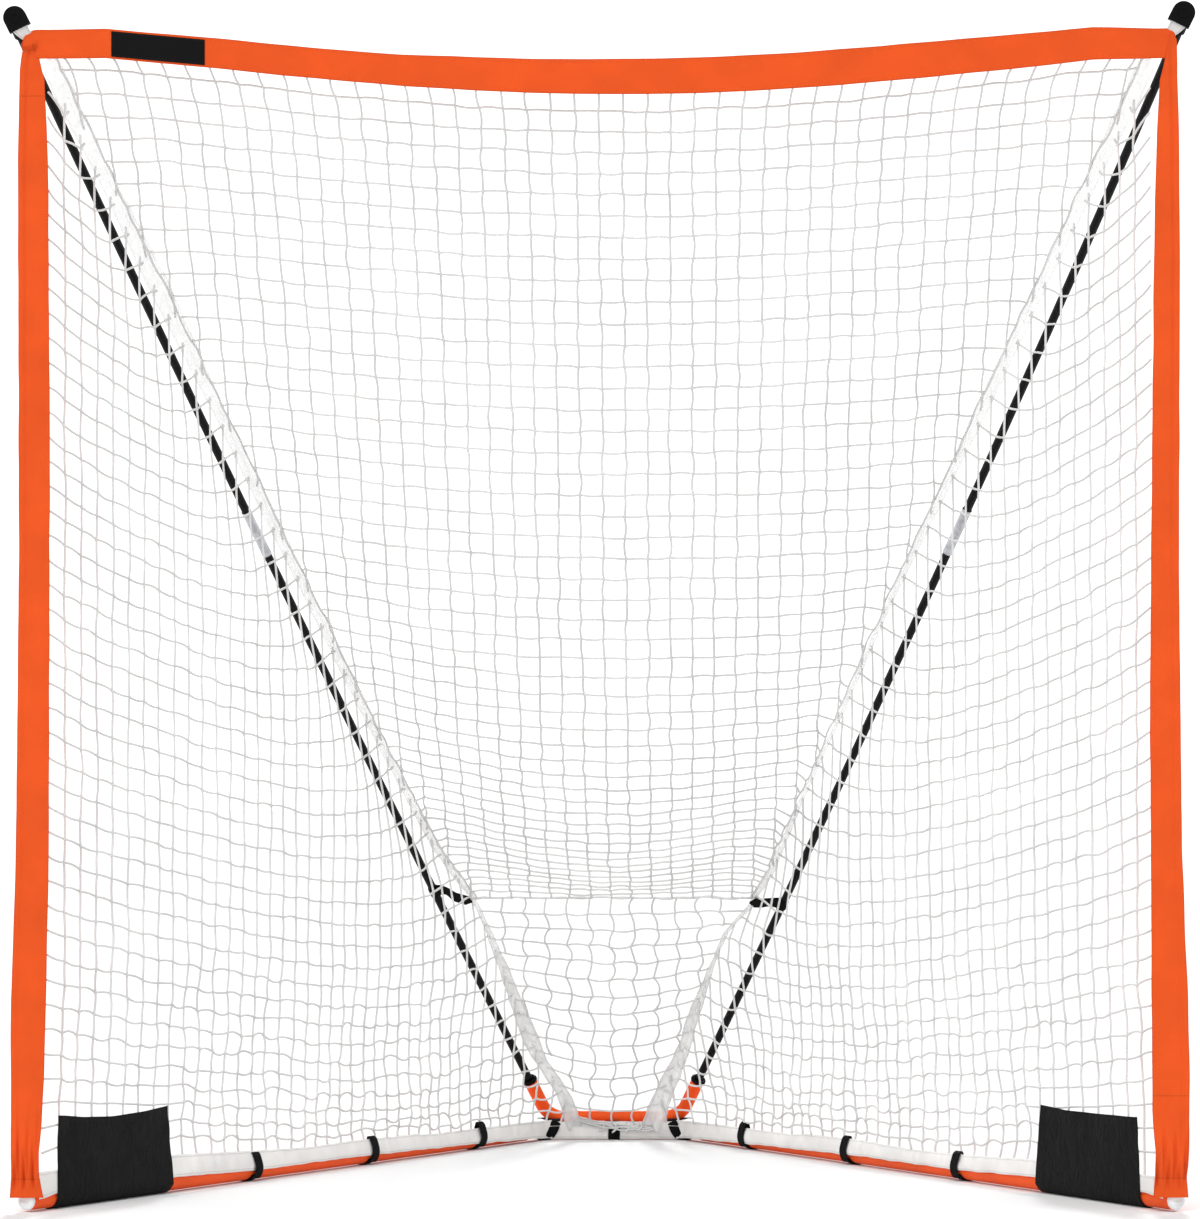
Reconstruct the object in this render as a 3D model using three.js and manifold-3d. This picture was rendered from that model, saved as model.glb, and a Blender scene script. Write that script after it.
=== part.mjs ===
// A portable lacrosse goal: a V of ground tubes, two bowed poles and a fabric-edged net hung between them.
// Lengths are millimetres. X runs across the mouth, Y from the mouth to the back, Z up from the ground.
// Every paired piece is drawn once, on the right, and mirrored for the left.
import * as THREE from "three";
import { mergeVertices } from "three/addons/utils/BufferGeometryUtils.js";
import Module from "manifold-3d";

// Driving dimensions: the mouth, the depth and the plan of the base.
const mouthWidth = 1829; // between the centre lines of the two edge strips
const mouthHeight = 1829; // mean height of the top band's lower edge
const goalDepth = 1590; // from the mouth to the axis of the rear ground tube
const railOutset = 10.5; // from an edge strip's centre line out to its rail's end
const rearHalfWidth = 134; // from the middle of the back to where a rail's line meets the rear tube's

// Tubes and rods.
const railRadius = 16;
const tubeWall = 1.5;
const slipGap = 0.3; // clearance between pieces that touch or slide
const stubRadius = railRadius - tubeWall - slipGap;
const socketRadius = 12.7;
const poleRadius = 7.5;
const stubInsertion = 90;
const jointSetback = 81; // from the meeting point of the axes forward to the rail's rear end
const groundBendRadius = 60;
const socketBendRadius = 45;
const weldPlate = { length: 40, width: 5, setIn: 0.7 }; // joins the socket tube to the ground tube
const weldPlateOffset = 72; // from the middle of the back
const tubesGap = 2.9; // between the ground tube and the socket tube, where the middle strap passes
const weldAngle = Math.PI * 0.272; // how far above horizontal the socket tube sits behind the ground tube
const socketHalfWidth = 126.6;
const socketArm = 94;

// Poles: each leaves its socket, bows up and out, and ends straight in its cap.
const tipOutset = 35.5; // beyond the edge strip's centre line
const tipRise = 101; // above the mean height of the band's lower edge
const tipSetback = 5;
const bowOut = 145;
const bowUp = 253;
const bowForward = 31;
const poleInsertion = 52;
const halvesGap = 0.6;
const ferruleLength = 102;
const ferruleWall = 1.1;
const collarStem = 22;
const collarFlange = 7;
const collarLip = 1.8;

// Fabric edge of the mouth.
const bandHeight = 53;
const bandShoulder = 16; // how far the band's upper edge falls at its ends
const bandSag = 56;
const sagReach = 800; // half the stretch of the band that hangs
const sagFullness = 0.55; // how much earlier than a parabola the band has risen
const bandThickness = 2;
const bandOverhang = 23.5; // past the edge strip's centre line
const stripThickness = 3;
const stripTopWidth = 46;
const stripLowWidth = 57;
const stripLowHeight = 380;
const stripGatherWidth = 45;
const stripGatherHeight = 78;
const hemWidth = 55;
const hemTopHeight = 38;
const hemBottomHeight = 19;
const hemForward = 15; // how far the hem stands in front of the strip, past the rail's end
const stripReleaseHeight = 150;
const stripTuck = 15; // how far the strip runs up behind the band
const labelWidth = 152;
const labelInset = 124; // from the strip's centre line to the label's outer end
const labelThickness = 0.8;
const labelMargin = 4; // between the label's edges and the band's

// Net: one cord in the model stands for four of the real square mesh.
const meshBar = 39.6;
const cordsPerGap = 4;
const netGap = meshBar * cordsPerGap;
const cordWidth = 4;
const cordThickness = 4;
const knotReach = 6 * cordWidth; // two meeting points closer than this share a knot
const roofSag = 220;
const roofSagPower = 1.45;
const netLean = 10.5; // how far the side net leans in from the skirt to the seam
const leanStart = 160;
const leanRise = 300;
const netTuck = 30; // how far the side net turns in at the back
const tuckLength = 141;
const sideSag = 105;
const seamHeadroom = 7; // from the band's corner down to the top of the seam
const seamFootHeight = 34;
const seamFootInset = 6;

// Tape, skirts, straps and panels.
const tapeHalfWidth = 14;
const tapeThickness = 1.6;
const tapeStart = 42;
const seamGap = 0.8;
const foldGap = 1.2;
const skirtThickness = 1.8;
const railSkirtHeights = { low: 15, top: 54, shoulder: 44 }; // the shoulder is where a strap passes through
const skirtStart = 30;
const skirtEndSetback = 51;
const rearSkirtHeights = { low: 6, top: 30, shoulder: 22 };
const rearSkirtHalfLength = 90;
const strapThickness = 2;
const strapWidth = 20;
const strapPitch = 404.5;
const strapsPerRail = 3;
const lastStrapSetback = 289;
const slitDrop = 3; // from a strap's shoulder down to the foot of the slit it passes through
const cornerStrapGap = 0.9;
const panelLength = 332;
const panelStart = 62;
const panelHeight = 148;
const panelOuterHeight = 46;

// Pull straps between the poles and the fold of the net.
const pullPoleShare = 0.17; // where each ties to its pole, as a share of the bow
const pullLength = 77;
const pullDrop = 13;
const pullWidth = 19;
const pullThickness = 3;

// Caps on the pole tips and the webbing that pulls on them.
const capHalfWidth = 18.7;
const capDrop = 20; // from the arch's centre to the flat lower edge
const capLean = Math.PI * 0.147; // turns the lower edge towards the band's corner
const capOffset = { x: -3, y: -4, z: 4 }; // from the pole's tip to the arch's centre, at the cap's back
const capBackPlate = 5.4;
const capSlot = 2.6;
const capFrontPlate = 3.5;
const capSlotHalfWidth = 14;
const capSlotTop = 12;
const capRingRadius = 9;
const capRingBore = 5;
const capRingHeight = 1.6;
const pocketDepth = 32;
const pocketWall = 2.5;
const pocketClearance = 0.5;
const webbingThickness = 2;
const webbingWidth = 26;
const webbingFootWidth = 16;
const webbingFootInset = 13; // from the band's end to the middle of the webbing's foot on its upper edge

// End plugs, snap buttons and their springs.
const plugStem = 24;
const plugFlange = 2;
const plugDome = 5;
const plugBore = 9;
const plugSlotWidth = 4;
const plugSlotDepth = 1.5;
const buttonRadius = 4.6;
const buttonSetback = 30; // from the rail's rear end
const buttonProud = 4.2;
const buttonDome = 1.6;
const buttonFlangeRadius = 5.5;
const buttonFlangeThickness = 1.2;
const springThickness = 0.8;
const springWidth = 8;
const springLength = 44;
const springTail = 7;

// Numbers of sides and steps.
const tubeSides = 16;
const socketSides = 14;
const poleSides = 10;
const poleSteps = 12;
const bendSteps = 6;
const tapeSteps = 18;
const tapeFoldStep = 14; // the step of the tape at which the roof turns down into the rear net
const strapSides = 12;
const smallSides = 12;
const overrun = 1; // how far a cutter passes the face that it cuts
const weldTolerance = 1e-3;
const probeShare = 1e-4;
const quadCorners = 6; // two triangles

const up = new THREE.Vector3(0, 0, 1);
const lathesAxis = new THREE.Vector3(0, 1, 0);
const wasm = await Module();
wasm.setup();

// Colours as seen in daylight.
const orangeSteel = new THREE.MeshStandardMaterial({ color: 0xe9501e, roughness: 0.4, metalness: 0.1 });
const orangeFabric = new THREE.MeshStandardMaterial({ color: 0xf2592b, roughness: 0.85, metalness: 0 });
const blackFabric = new THREE.MeshStandardMaterial({ color: 0x232323, roughness: 0.85, metalness: 0 });
const blackPlastic = new THREE.MeshStandardMaterial({ color: 0x1c1c1c, roughness: 0.45, metalness: 0 });
const fibreglass = new THREE.MeshStandardMaterial({ color: 0x161616, roughness: 0.35, metalness: 0 });
const bareSteel = new THREE.MeshStandardMaterial({ color: 0xb9bcc0, roughness: 0.3, metalness: 0.9 });
const netCord = new THREE.MeshStandardMaterial({ color: 0xe6e6e6, roughness: 0.9, metalness: 0 });
const whiteFabric = new THREE.MeshStandardMaterial({ color: 0xe4e4e0, roughness: 0.9, metalness: 0 });
const greyWebbing = new THREE.MeshStandardMaterial({ color: 0xc9cccd, roughness: 0.8, metalness: 0 });
const palePlastic = new THREE.MeshStandardMaterial({ color: 0xe9ebe8, roughness: 0.5, metalness: 0 });

// The goal's groups. A rail's own frame has X outwards, Y along the rail from the mouth, and Z up.
const halfMouth = mouthWidth / 2;
const railEndX = halfMouth + railOutset;
const railAngle = Math.atan2(railEndX - rearHalfWidth, goalDepth);
const axisLength = Math.hypot(railEndX - rearHalfWidth, goalDepth);
const railLength = axisLength - jointSetback;
const groundHeight = railRadius + slipGap + strapThickness;

const model = new THREE.Group();
const sides = ["right", "left"].map((name) => {
  const side = new THREE.Group();
  side.scale.x = name === "right" ? 1 : -1;
  const rail = new THREE.Group();
  rail.position.x = railEndX;
  rail.rotation.z = railAngle;
  side.add(rail);
  model.add(side);
  return { name, side, rail };
});

// One named mesh, in a group, at an optional place and turn.
function add(group, name, geometry, material, position, quaternion) {
  const mesh = new THREE.Mesh(geometry, material);
  mesh.name = name;
  if (position) mesh.position.copy(position);
  if (quaternion) mesh.quaternion.copy(quaternion);
  group.add(mesh);
}

// The same piece on both sides, in the side's frame or in its rail's.
function addPair(frame, name, geometry, material, position, quaternion) {
  for (const side of sides) {
    add(side[frame], `${side.name}_${name}`, geometry, material, position, quaternion);
  }
}

// A closed mesh as a solid that can be joined and cut, and back.
function solid(geometry) {
  const bare = new THREE.BufferGeometry();
  bare.setAttribute("position", geometry.getAttribute("position").clone());
  bare.setIndex(geometry.index);
  const merged = mergeVertices(bare, weldTolerance);
  const triVerts = new Uint32Array(merged.index.array);
  const vertProperties = merged.getAttribute("position").array;
  return new wasm.Manifold(new wasm.Mesh({ numProp: 3, vertProperties, triVerts }));
}

function geometryOf(shape) {
  const mesh = shape.getMesh();
  const geometry = new THREE.BufferGeometry();
  geometry.setAttribute("position", new THREE.BufferAttribute(mesh.vertProperties, mesh.numProp));
  geometry.setIndex(new THREE.BufferAttribute(mesh.triVerts, 1));
  const flat = geometry.toNonIndexed();
  flat.computeVertexNormals();
  return flat;
}

// Small helpers for outlines and blends.
const lerp = THREE.MathUtils.lerp;
const ramp = (value) => THREE.MathUtils.smoothstep(value, 0, 1);

// The radius of a ring of flats whose flats, not corners, clear the stated radius.
function flatsRadius(radius, count) {
  return radius / Math.cos(Math.PI / count);
}

// A regular ring of points with a flat at the bottom.
function ring(radius, count, centre = new THREE.Vector2()) {
  return Array.from({ length: count }, (_, i) => {
    const angle = ((i + 0.5) / count) * 2 * Math.PI - Math.PI / 2;
    return new THREE.Vector2(centre.x + radius * Math.cos(angle), centre.y + radius * Math.sin(angle));
  });
}

// The tight outline round a set of points.
function hullOf(points) {
  const sorted = [...points].sort((a, b) => a.x - b.x || a.y - b.y);
  const chain = (list) => {
    const kept = [];
    for (const p of list) {
      while (kept.length > 1) {
        const a = kept[kept.length - 2];
        const b = kept[kept.length - 1];
        if ((b.x - a.x) * (p.y - a.y) - (b.y - a.y) * (p.x - a.x) > 0) break;
        kept.pop();
      }
      kept.push(p);
    }
    return kept.slice(0, -1);
  };
  return [...chain(sorted), ...chain(sorted.reverse())];
}

function outlineWithHole(outer, inner) {
  const shape = new THREE.Shape(outer);
  shape.holes.push(new THREE.Path(inner));
  return shape;
}

// An outline drawn in X and Z, extruded along Y from zero.
function extrudeAlongY(shape, length) {
  const geometry = new THREE.ExtrudeGeometry(shape, { depth: length, bevelEnabled: false });
  return geometry.rotateX(Math.PI / 2).translate(0, length, 0);
}

// A turned piece whose axis is Y, from a profile of radius and height.
function turned(profile, count) {
  return new THREE.LatheGeometry(
    profile.map(([radius, height]) => new THREE.Vector2(radius, height)),
    count,
  );
}

// A route with a section only at its own points, each square to the way through it.
class Route extends THREE.Curve {
  constructor(points) {
    super();
    this.points = points;
  }
  getPointAt(share) {
    const place = share * (this.points.length - 1);
    const index = Math.min(Math.round(place), this.points.length - 1);
    return this.points[index].clone();
  }
  getTangentAt(share) {
    const last = this.points.length - 1;
    const index = Math.round(share * last);
    const ahead = this.points[Math.min(index + 1, last)].clone().sub(this.points[Math.min(index, last - 1)]);
    const behind = this.points[Math.max(index, 1)].clone().sub(this.points[Math.max(index - 1, 0)]);
    return ahead.normalize().add(behind.normalize()).normalize();
  }
}

// Points along straight legs whose corners are rounded to one radius.
function roundedRoute(corners, radius) {
  const points = [corners[0]];
  for (let i = 1; i < corners.length - 1; i++) {
    const way = corners[i].clone().sub(corners[i - 1]).normalize();
    const next = corners[i + 1].clone().sub(corners[i]).normalize();
    const turn = way.angleTo(next);
    const side = next.clone().addScaledVector(way, -way.dot(next)).normalize();
    const start = corners[i].clone().addScaledVector(way, -radius * Math.tan(turn / 2));
    const centre = start.addScaledVector(side, radius);
    for (let step = 0; step <= bendSteps; step++) {
      const angle = (turn * step) / bendSteps;
      const point = centre.clone().addScaledVector(side, -radius * Math.cos(angle));
      points.push(point.addScaledVector(way, radius * Math.sin(angle)));
    }
  }
  points.push(corners[corners.length - 1]);
  return points;
}

function extrudeAlong(points, shape) {
  const extrudePath = new Route(points);
  return new THREE.ExtrudeGeometry(shape, { steps: points.length - 1, extrudePath });
}

// A thin sheet: a box one unit each way, bent to the surface that place gives for two shares.
function bentSheet(stepsAcross, stepsAlong, thickness, place) {
  const sheet = new THREE.BoxGeometry(1, 1, 1, stepsAcross, stepsAlong, 1);
  matchDiagonals(sheet);
  const spots = sheet.getAttribute("position");
  const halfUnit = 0.5;
  for (let i = 0; i < spots.count; i++) {
    const u = spots.getX(i) + halfUnit;
    const v = spots.getY(i) + halfUnit;
    const point = place(u, v).addScaledVector(surfaceNormal(place, u, v), thickness * spots.getZ(i));
    spots.setXYZ(i, point.x, point.y, point.z);
  }
  sheet.computeVertexNormals();
  return sheet;
}

// Divides the far face's quads along the same diagonals as the near face's, so that a twisted sheet
// keeps its thickness.
function matchDiagonals(sheet) {
  const corners = sheet.getIndex();
  const far = sheet.groups[sheet.groups.length - 1];
  for (let first = far.start; first < far.start + far.count; first += quadCorners) {
    corners.setX(first + 2, corners.getX(first + 4));
    corners.setX(first + 3, corners.getX(first));
  }
}

function surfaceNormal(place, u, v) {
  const clamp = (value) => THREE.MathUtils.clamp(value, 0, 1);
  const across = place(clamp(u + probeShare), v).sub(place(clamp(u - probeShare), v));
  const along = place(u, clamp(v + probeShare)).sub(place(u, clamp(v - probeShare)));
  return across.cross(along).normalize();
}

// The value that a table of places and values gives between its rows.
function between(table, place) {
  const row = table.findIndex(([at]) => at >= place);
  if (row === 0) return table[0][1];
  if (row < 0) return table[table.length - 1][1];
  const [low, high] = [table[row - 1], table[row]];
  return lerp(low[1], high[1], (place - low[0]) / (high[0] - low[0]));
}

// The rear base frame: the ground tube with its stubs, and the bent tube whose raised ends are the sockets.
const railWay = new THREE.Vector3(-Math.sin(railAngle), Math.cos(railAngle), 0);
const groundCorner = new THREE.Vector3(rearHalfWidth, goalDepth, groundHeight);
const stubEnd = groundCorner.clone().addScaledVector(railWay, -jointSetback - stubInsertion);
const mirrored = (point) => new THREE.Vector3(-point.x, point.y, point.z);
const groundPoints = roundedRoute(
  [stubEnd, groundCorner, mirrored(groundCorner), mirrored(stubEnd)],
  groundBendRadius,
);
const weldReach = stubRadius + tubesGap + socketRadius;
const socketCorner = new THREE.Vector3(
  socketHalfWidth,
  goalDepth + weldReach * Math.cos(weldAngle),
  groundHeight + weldReach * Math.sin(weldAngle),
);
const poleTip = new THREE.Vector3(halfMouth + tipOutset, tipSetback, mouthHeight + tipRise);
const bowCrown = socketCorner.clone().lerp(poleTip, 1 / 2).add(new THREE.Vector3(bowOut, -bowForward, bowUp));
const socketWay = bowCrown.clone().sub(socketCorner).normalize();
const socketMouth = socketCorner.clone().addScaledVector(socketWay, socketArm);
const socketPoints = roundedRoute(
  [socketMouth, socketCorner, mirrored(socketCorner), mirrored(socketMouth)],
  socketBendRadius,
);

function pipeAlong(points, radius, count) {
  return solid(extrudeAlong(points, outlineWithHole(ring(radius, count), ring(radius - tubeWall, count))));
}

// The pipes are joined by two weld plates and drilled for the buttons.
const buttonAlong = railLength - buttonSetback;
const outwardTurn = new THREE.Quaternion().setFromUnitVectors(lathesAxis, new THREE.Vector3(1, 0, 0));
const buttonDrill = new THREE.CylinderGeometry(
  flatsRadius(buttonRadius + slipGap, smallSides),
  flatsRadius(buttonRadius + slipGap, smallSides),
  railRadius + overrun,
  smallSides,
)
  .applyQuaternion(outwardTurn)
  .translate((railRadius + overrun) / 2, buttonAlong, groundHeight);

function buildRearFrame() {
  const ground = pipeAlong(groundPoints, stubRadius, tubeSides);
  const sockets = pipeAlong(socketPoints, socketRadius, socketSides);
  const drill = buttonDrill.clone().rotateZ(railAngle).translate(railEndX, 0, 0);
  const { length, width, setIn } = weldPlate;
  const plate = new THREE.BoxGeometry(length, tubesGap + 2 * setIn, width);
  plate.translate(weldPlateOffset, stubRadius + tubesGap / 2, 0);
  plate.rotateX(weldAngle).translate(0, goalDepth, groundHeight);
  const bothSides = (geometry) => {
    const right = solid(geometry);
    return right.add(right.mirror([1, 0, 0]));
  };
  return geometryOf(ground.add(sockets).add(bothSides(plate)).subtract(bothSides(drill)));
}
add(model, "rear_base_frame", buildRearFrame(), orangeSteel);

// The rails, their plugs, and the snap button and spring inside each joint.
function buildRail() {
  const bore = ring(railRadius - tubeWall, tubeSides);
  const tube = solid(extrudeAlongY(outlineWithHole(ring(railRadius, tubeSides), bore), railLength));
  const low = buttonDrill.clone().translate(0, 0, -groundHeight);
  return geometryOf(tube.subtract(solid(low)));
}
const railAxis = new THREE.Vector3(0, 0, groundHeight);
addPair("rail", "rail", buildRail(), orangeSteel, railAxis);

function buildPlug() {
  const stem = (railRadius - tubeWall) * Math.cos(Math.PI / tubeSides) - slipGap;
  const dome = Array.from({ length: bendSteps }, (_, i) => {
    const angle = ((i + 1) / bendSteps) * (Math.PI / 2);
    return [railRadius * Math.cos(angle), slipGap + plugFlange + plugDome * Math.sin(angle)];
  });
  dome[dome.length - 1][0] = 0;
  const profile = [
    [0, -plugSlotDepth],
    [plugBore, -plugSlotDepth],
    [plugBore, -plugStem],
    [stem, -plugStem],
    [stem, slipGap],
    [railRadius, slipGap],
    [railRadius, slipGap + plugFlange],
    ...dome,
  ];
  const slot = new THREE.BoxGeometry(2 * plugBore, 2 * plugSlotDepth, plugSlotWidth);
  slot.translate(0, slipGap + plugFlange + plugDome, 0);
  return geometryOf(solid(turned(profile, smallSides)).subtract(solid(slot)));
}
const mouthwards = new THREE.Quaternion().setFromAxisAngle(up, Math.PI);
addPair("rail", "rail_end_plug", buildPlug(), palePlastic, railAxis, mouthwards);

const stubBoreFlats = (stubRadius - tubeWall) * Math.cos(Math.PI / tubeSides);
const flangeSeat = Math.sqrt(stubBoreFlats ** 2 - buttonFlangeRadius ** 2) - slipGap;

function buildButton() {
  const shoulder = railRadius + buttonProud - buttonDome;
  const profile = [
    [0, flangeSeat - buttonFlangeThickness],
    [buttonFlangeRadius, flangeSeat - buttonFlangeThickness],
    [buttonFlangeRadius, flangeSeat],
    [buttonRadius, flangeSeat],
    [buttonRadius, shoulder],
    [buttonRadius * Math.cos(Math.PI / 4), shoulder + buttonDome * Math.sin(Math.PI / 4)],
    [0, shoulder + buttonDome],
  ];
  return turned(profile, smallSides);
}
const buttonPlace = new THREE.Vector3(0, buttonAlong, groundHeight);
addPair("rail", "rail_button", buildButton(), bareSteel, buttonPlace, outwardTurn);

// The spring is one folded strip, lying flat in the stub, with one leg behind the button.
function buildButtonSpring() {
  const near = flangeSeat - buttonFlangeThickness - slipGap;
  const far = slipGap - Math.sqrt(stubBoreFlats ** 2 - (springWidth / 2) ** 2);
  const lean = Math.hypot(1, springLength / near);
  const inset = (springThickness * lean * near) / springLength;
  const shape = new THREE.Shape([
    new THREE.Vector2(near, springTail),
    new THREE.Vector2(near, -springTail),
    new THREE.Vector2(springThickness, -springLength),
    new THREE.Vector2(-springThickness, -springLength),
    new THREE.Vector2(far, springTail),
    new THREE.Vector2(far + inset, springTail),
    new THREE.Vector2(0, -springLength + springThickness * lean),
    new THREE.Vector2(near - springThickness, -springTail),
    new THREE.Vector2(near - springThickness, springTail),
  ]);
  const geometry = new THREE.ExtrudeGeometry(shape, { depth: springWidth, bevelEnabled: false });
  return geometry.translate(0, 0, -springWidth / 2);
}
addPair("rail", "button_spring", buildButtonSpring(), bareSteel, buttonPlace);

// The collars in the socket mouths.
const socketTurn = new THREE.Quaternion().setFromUnitVectors(lathesAxis, socketWay);

function buildCollar() {
  const bore = flatsRadius(poleRadius + slipGap, tubeSides);
  const stem = (socketRadius - tubeWall) * Math.cos(Math.PI / socketSides) - slipGap;
  const flange = socketRadius + collarLip;
  return turned(
    [
      [bore, -collarStem],
      [stem, -collarStem],
      [stem, slipGap],
      [flange, slipGap],
      [flange, slipGap + collarFlange - collarLip],
      [flange - collarLip, slipGap + collarFlange],
      [bore, slipGap + collarFlange],
      [bore, -collarStem],
    ],
    tubeSides,
  );
}
addPair("side", "socket_collar", buildCollar(), blackPlastic, socketMouth, socketTurn);

// The poles: the bow is a parabola, halved at its middle, with a straight run at each end.
const bowLow = socketMouth.clone().lerp(bowCrown, 1 / 2);
const bowHigh = bowCrown.clone().lerp(poleTip, 1 / 2);
const bowMiddle = bowLow.clone().lerp(bowHigh, 1 / 2);
const tipWay = poleTip.clone().sub(bowCrown).normalize();
const middleWay = bowHigh.clone().sub(bowLow).normalize();
const straightEnd = poleTip.clone().addScaledVector(tipWay, -pocketDepth);
const bow = new THREE.QuadraticBezierCurve3(socketMouth, bowCrown, poleTip);
const lowerBow = new THREE.QuadraticBezierCurve3(socketMouth, bowLow, bowMiddle);
const upperBow = new THREE.QuadraticBezierCurve3(bowMiddle, bowHigh, straightEnd);
const poleOutline = new THREE.Shape(ring(poleRadius, poleSides));

const lowerPoints = lowerBow.getPoints(poleSteps);
lowerPoints[poleSteps].addScaledVector(middleWay, -halvesGap / 2);
lowerPoints.unshift(socketMouth.clone().addScaledVector(socketWay, -poleInsertion));
const upperPoints = upperBow.getPoints(poleSteps);
upperPoints[0].addScaledVector(middleWay, halvesGap / 2);
upperPoints.push(poleTip);
addPair("side", "lower_pole", extrudeAlong(lowerPoints, poleOutline), fibreglass);
addPair("side", "upper_pole", extrudeAlong(upperPoints, poleOutline), fibreglass);

// The ferrule that joins the halves.
function buildFerrule() {
  const bore = flatsRadius(poleRadius + slipGap, smallSides);
  const outer = bore + ferruleWall;
  const half = ferruleLength / 2;
  return turned(
    [
      [bore, -half],
      [outer, -half],
      [outer, half],
      [bore, half],
      [bore, -half],
    ],
    smallSides,
  );
}
const ferruleTurn = new THREE.Quaternion().setFromUnitVectors(lathesAxis, middleWay);
addPair("side", "ferrule", buildFerrule(), bareSteel, bowMiddle, ferruleTurn);

// The top band, its label patch, and the edge strips.
const bandCorner = mouthHeight + bandSag / 2;

function bandLow(x) {
  const share = Math.min(Math.abs(x) / sagReach, 1);
  return bandCorner - bandSag * (1 - share ** 2 * (1 + sagFullness * (1 - share)));
}

const bandHalfWidth = halfMouth + bandOverhang;
const bandSteps = 36;
const shoulderReach = (2 * bandHalfWidth) / bandSteps;

function bandTop(x) {
  const end = Math.max(0, 1 - (bandHalfWidth - Math.abs(x)) / shoulderReach);
  return bandLow(x) + bandHeight - bandShoulder * end;
}

const band = bentSheet(bandSteps, 1, bandThickness, (u, v) => {
  const x = lerp(-bandHalfWidth, bandHalfWidth, u);
  return new THREE.Vector3(x, -bandThickness / 2, lerp(bandLow(x), bandTop(x), v));
});
add(model, "top_band", band, orangeFabric);

const labelSteps = 4;
const label = bentSheet(labelSteps, 1, labelThickness, (u, v) => {
  const x = labelInset - halfMouth + u * labelWidth;
  const z = bandLow(x) + lerp(labelMargin, bandHeight - labelMargin, v);
  return new THREE.Vector3(x, -bandThickness - slipGap - labelThickness / 2, z);
});
add(model, "label_patch", label, blackFabric);

const stripTop = bandCorner + stripTuck;
const stripWidths = [
  [hemBottomHeight, hemWidth],
  [hemTopHeight, hemWidth],
  [stripGatherHeight, stripGatherWidth],
  [stripLowHeight, stripLowWidth],
  [stripTop, stripTopWidth],
];
const stripSteps = 14;
const strip = bentSheet(1, stripSteps, stripThickness, (u, v) => {
  const z = lerp(hemBottomHeight, stripTop, v * v);
  const free = ramp((z - stripGatherHeight) / (stripReleaseHeight - stripGatherHeight));
  const y = slipGap + stripThickness / 2 - hemForward * (1 - free);
  return new THREE.Vector3(halfMouth + (u - 1 / 2) * between(stripWidths, z), y, z);
});
addPair("side", "edge_strip", strip, orangeFabric);

// Where the net hangs. A place beside a rail: along it, inwards from its axis, and up.
function besideRail(along, inward, height) {
  return new THREE.Vector3(-inward, along, 0)
    .applyAxisAngle(up, railAngle)
    .add(new THREE.Vector3(railEndX, 0, height));
}

const netInset = railRadius + slipGap + skirtThickness / 2 - cordThickness / 2;
const tuckStart = axisLength + seamFootInset - tuckLength;

function sidePoint(along, height) {
  const lean = netLean * ramp((height - leanStart) / leanRise);
  const tuck = netTuck * ramp((along - tuckStart) / tuckLength);
  return besideRail(along, netInset + lean + tuck, height);
}

// The fold corner hangs from the pole by its pull strap.
const pullAnchor = bow.getPoint(pullPoleShare);
const pullWay = bow.getTangent(pullPoleShare);
const foldCorner = pullAnchor.clone().add(new THREE.Vector3(-pullLength, 0, -pullDrop));
const foldAlong = foldCorner.clone().sub(new THREE.Vector3(railEndX, 0, 0)).dot(railWay);

// The seam in the side net's own layout: along the rail and up.
const seamTop = [netFront(), bandCorner - seamHeadroom];
const seamFold = [foldAlong, foldCorner.z];
const seamFoot = [axisLength + seamFootInset, seamFootHeight];

function netFront() {
  const halfDiagonal = Math.hypot(cordWidth, cordThickness) / 2;
  const clear = slipGap + stripThickness + slipGap + halfDiagonal;
  return (clear + (netInset + netLean) * Math.sin(railAngle)) / Math.cos(railAngle);
}

function seamFlat(share, upper) {
  const [from, to] = upper ? [seamTop, seamFold] : [seamFold, seamFoot];
  return new THREE.Vector2(lerp(from[0], to[0], share), lerp(from[1], to[1], share));
}

function seamWay(upper) {
  return seamFlat(1, upper).sub(seamFlat(0, upper)).normalize();
}

function seamPoint(share, upper) {
  const flat = seamFlat(share, upper);
  return sidePoint(flat.x, flat.y);
}

// The roof hangs between the seams and sags below the straight line from the band to the fold.
const bandSeatY = slipGap + Math.hypot(cordWidth, cordThickness) / 2;
const bandSeatRise = 5;
const roofFall = new THREE.Vector2(foldCorner.y - bandSeatY, bandCorner - bandSag - foldCorner.z).normalize();

function roofPoint(x, share) {
  const edge = seamPoint(share, true);
  const across = Math.min(Math.abs(x) / edge.x, 1);
  const head = bandLow(across * halfMouth) + bandSeatRise - (bandCorner - seamHeadroom);
  const sag = roofSag * Math.sin(Math.PI * Math.max(share, 0) ** roofSagPower) * (1 - across ** 2);
  const start = (bandSeatY - seamPoint(0, true).y) * (1 - share);
  return new THREE.Vector3(
    x,
    edge.y + start - sag * roofFall.y,
    edge.z + head * (1 - share) - sag * roofFall.x,
  );
}

function rearPoint(x, share) {
  const edge = seamPoint(share, false);
  return new THREE.Vector3(x, edge.y, edge.z);
}

function runLength(place, steps) {
  let length = 0;
  for (let i = 0; i < steps; i++) {
    length += place(i / steps).distanceTo(place((i + 1) / steps));
  }
  return length;
}

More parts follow.
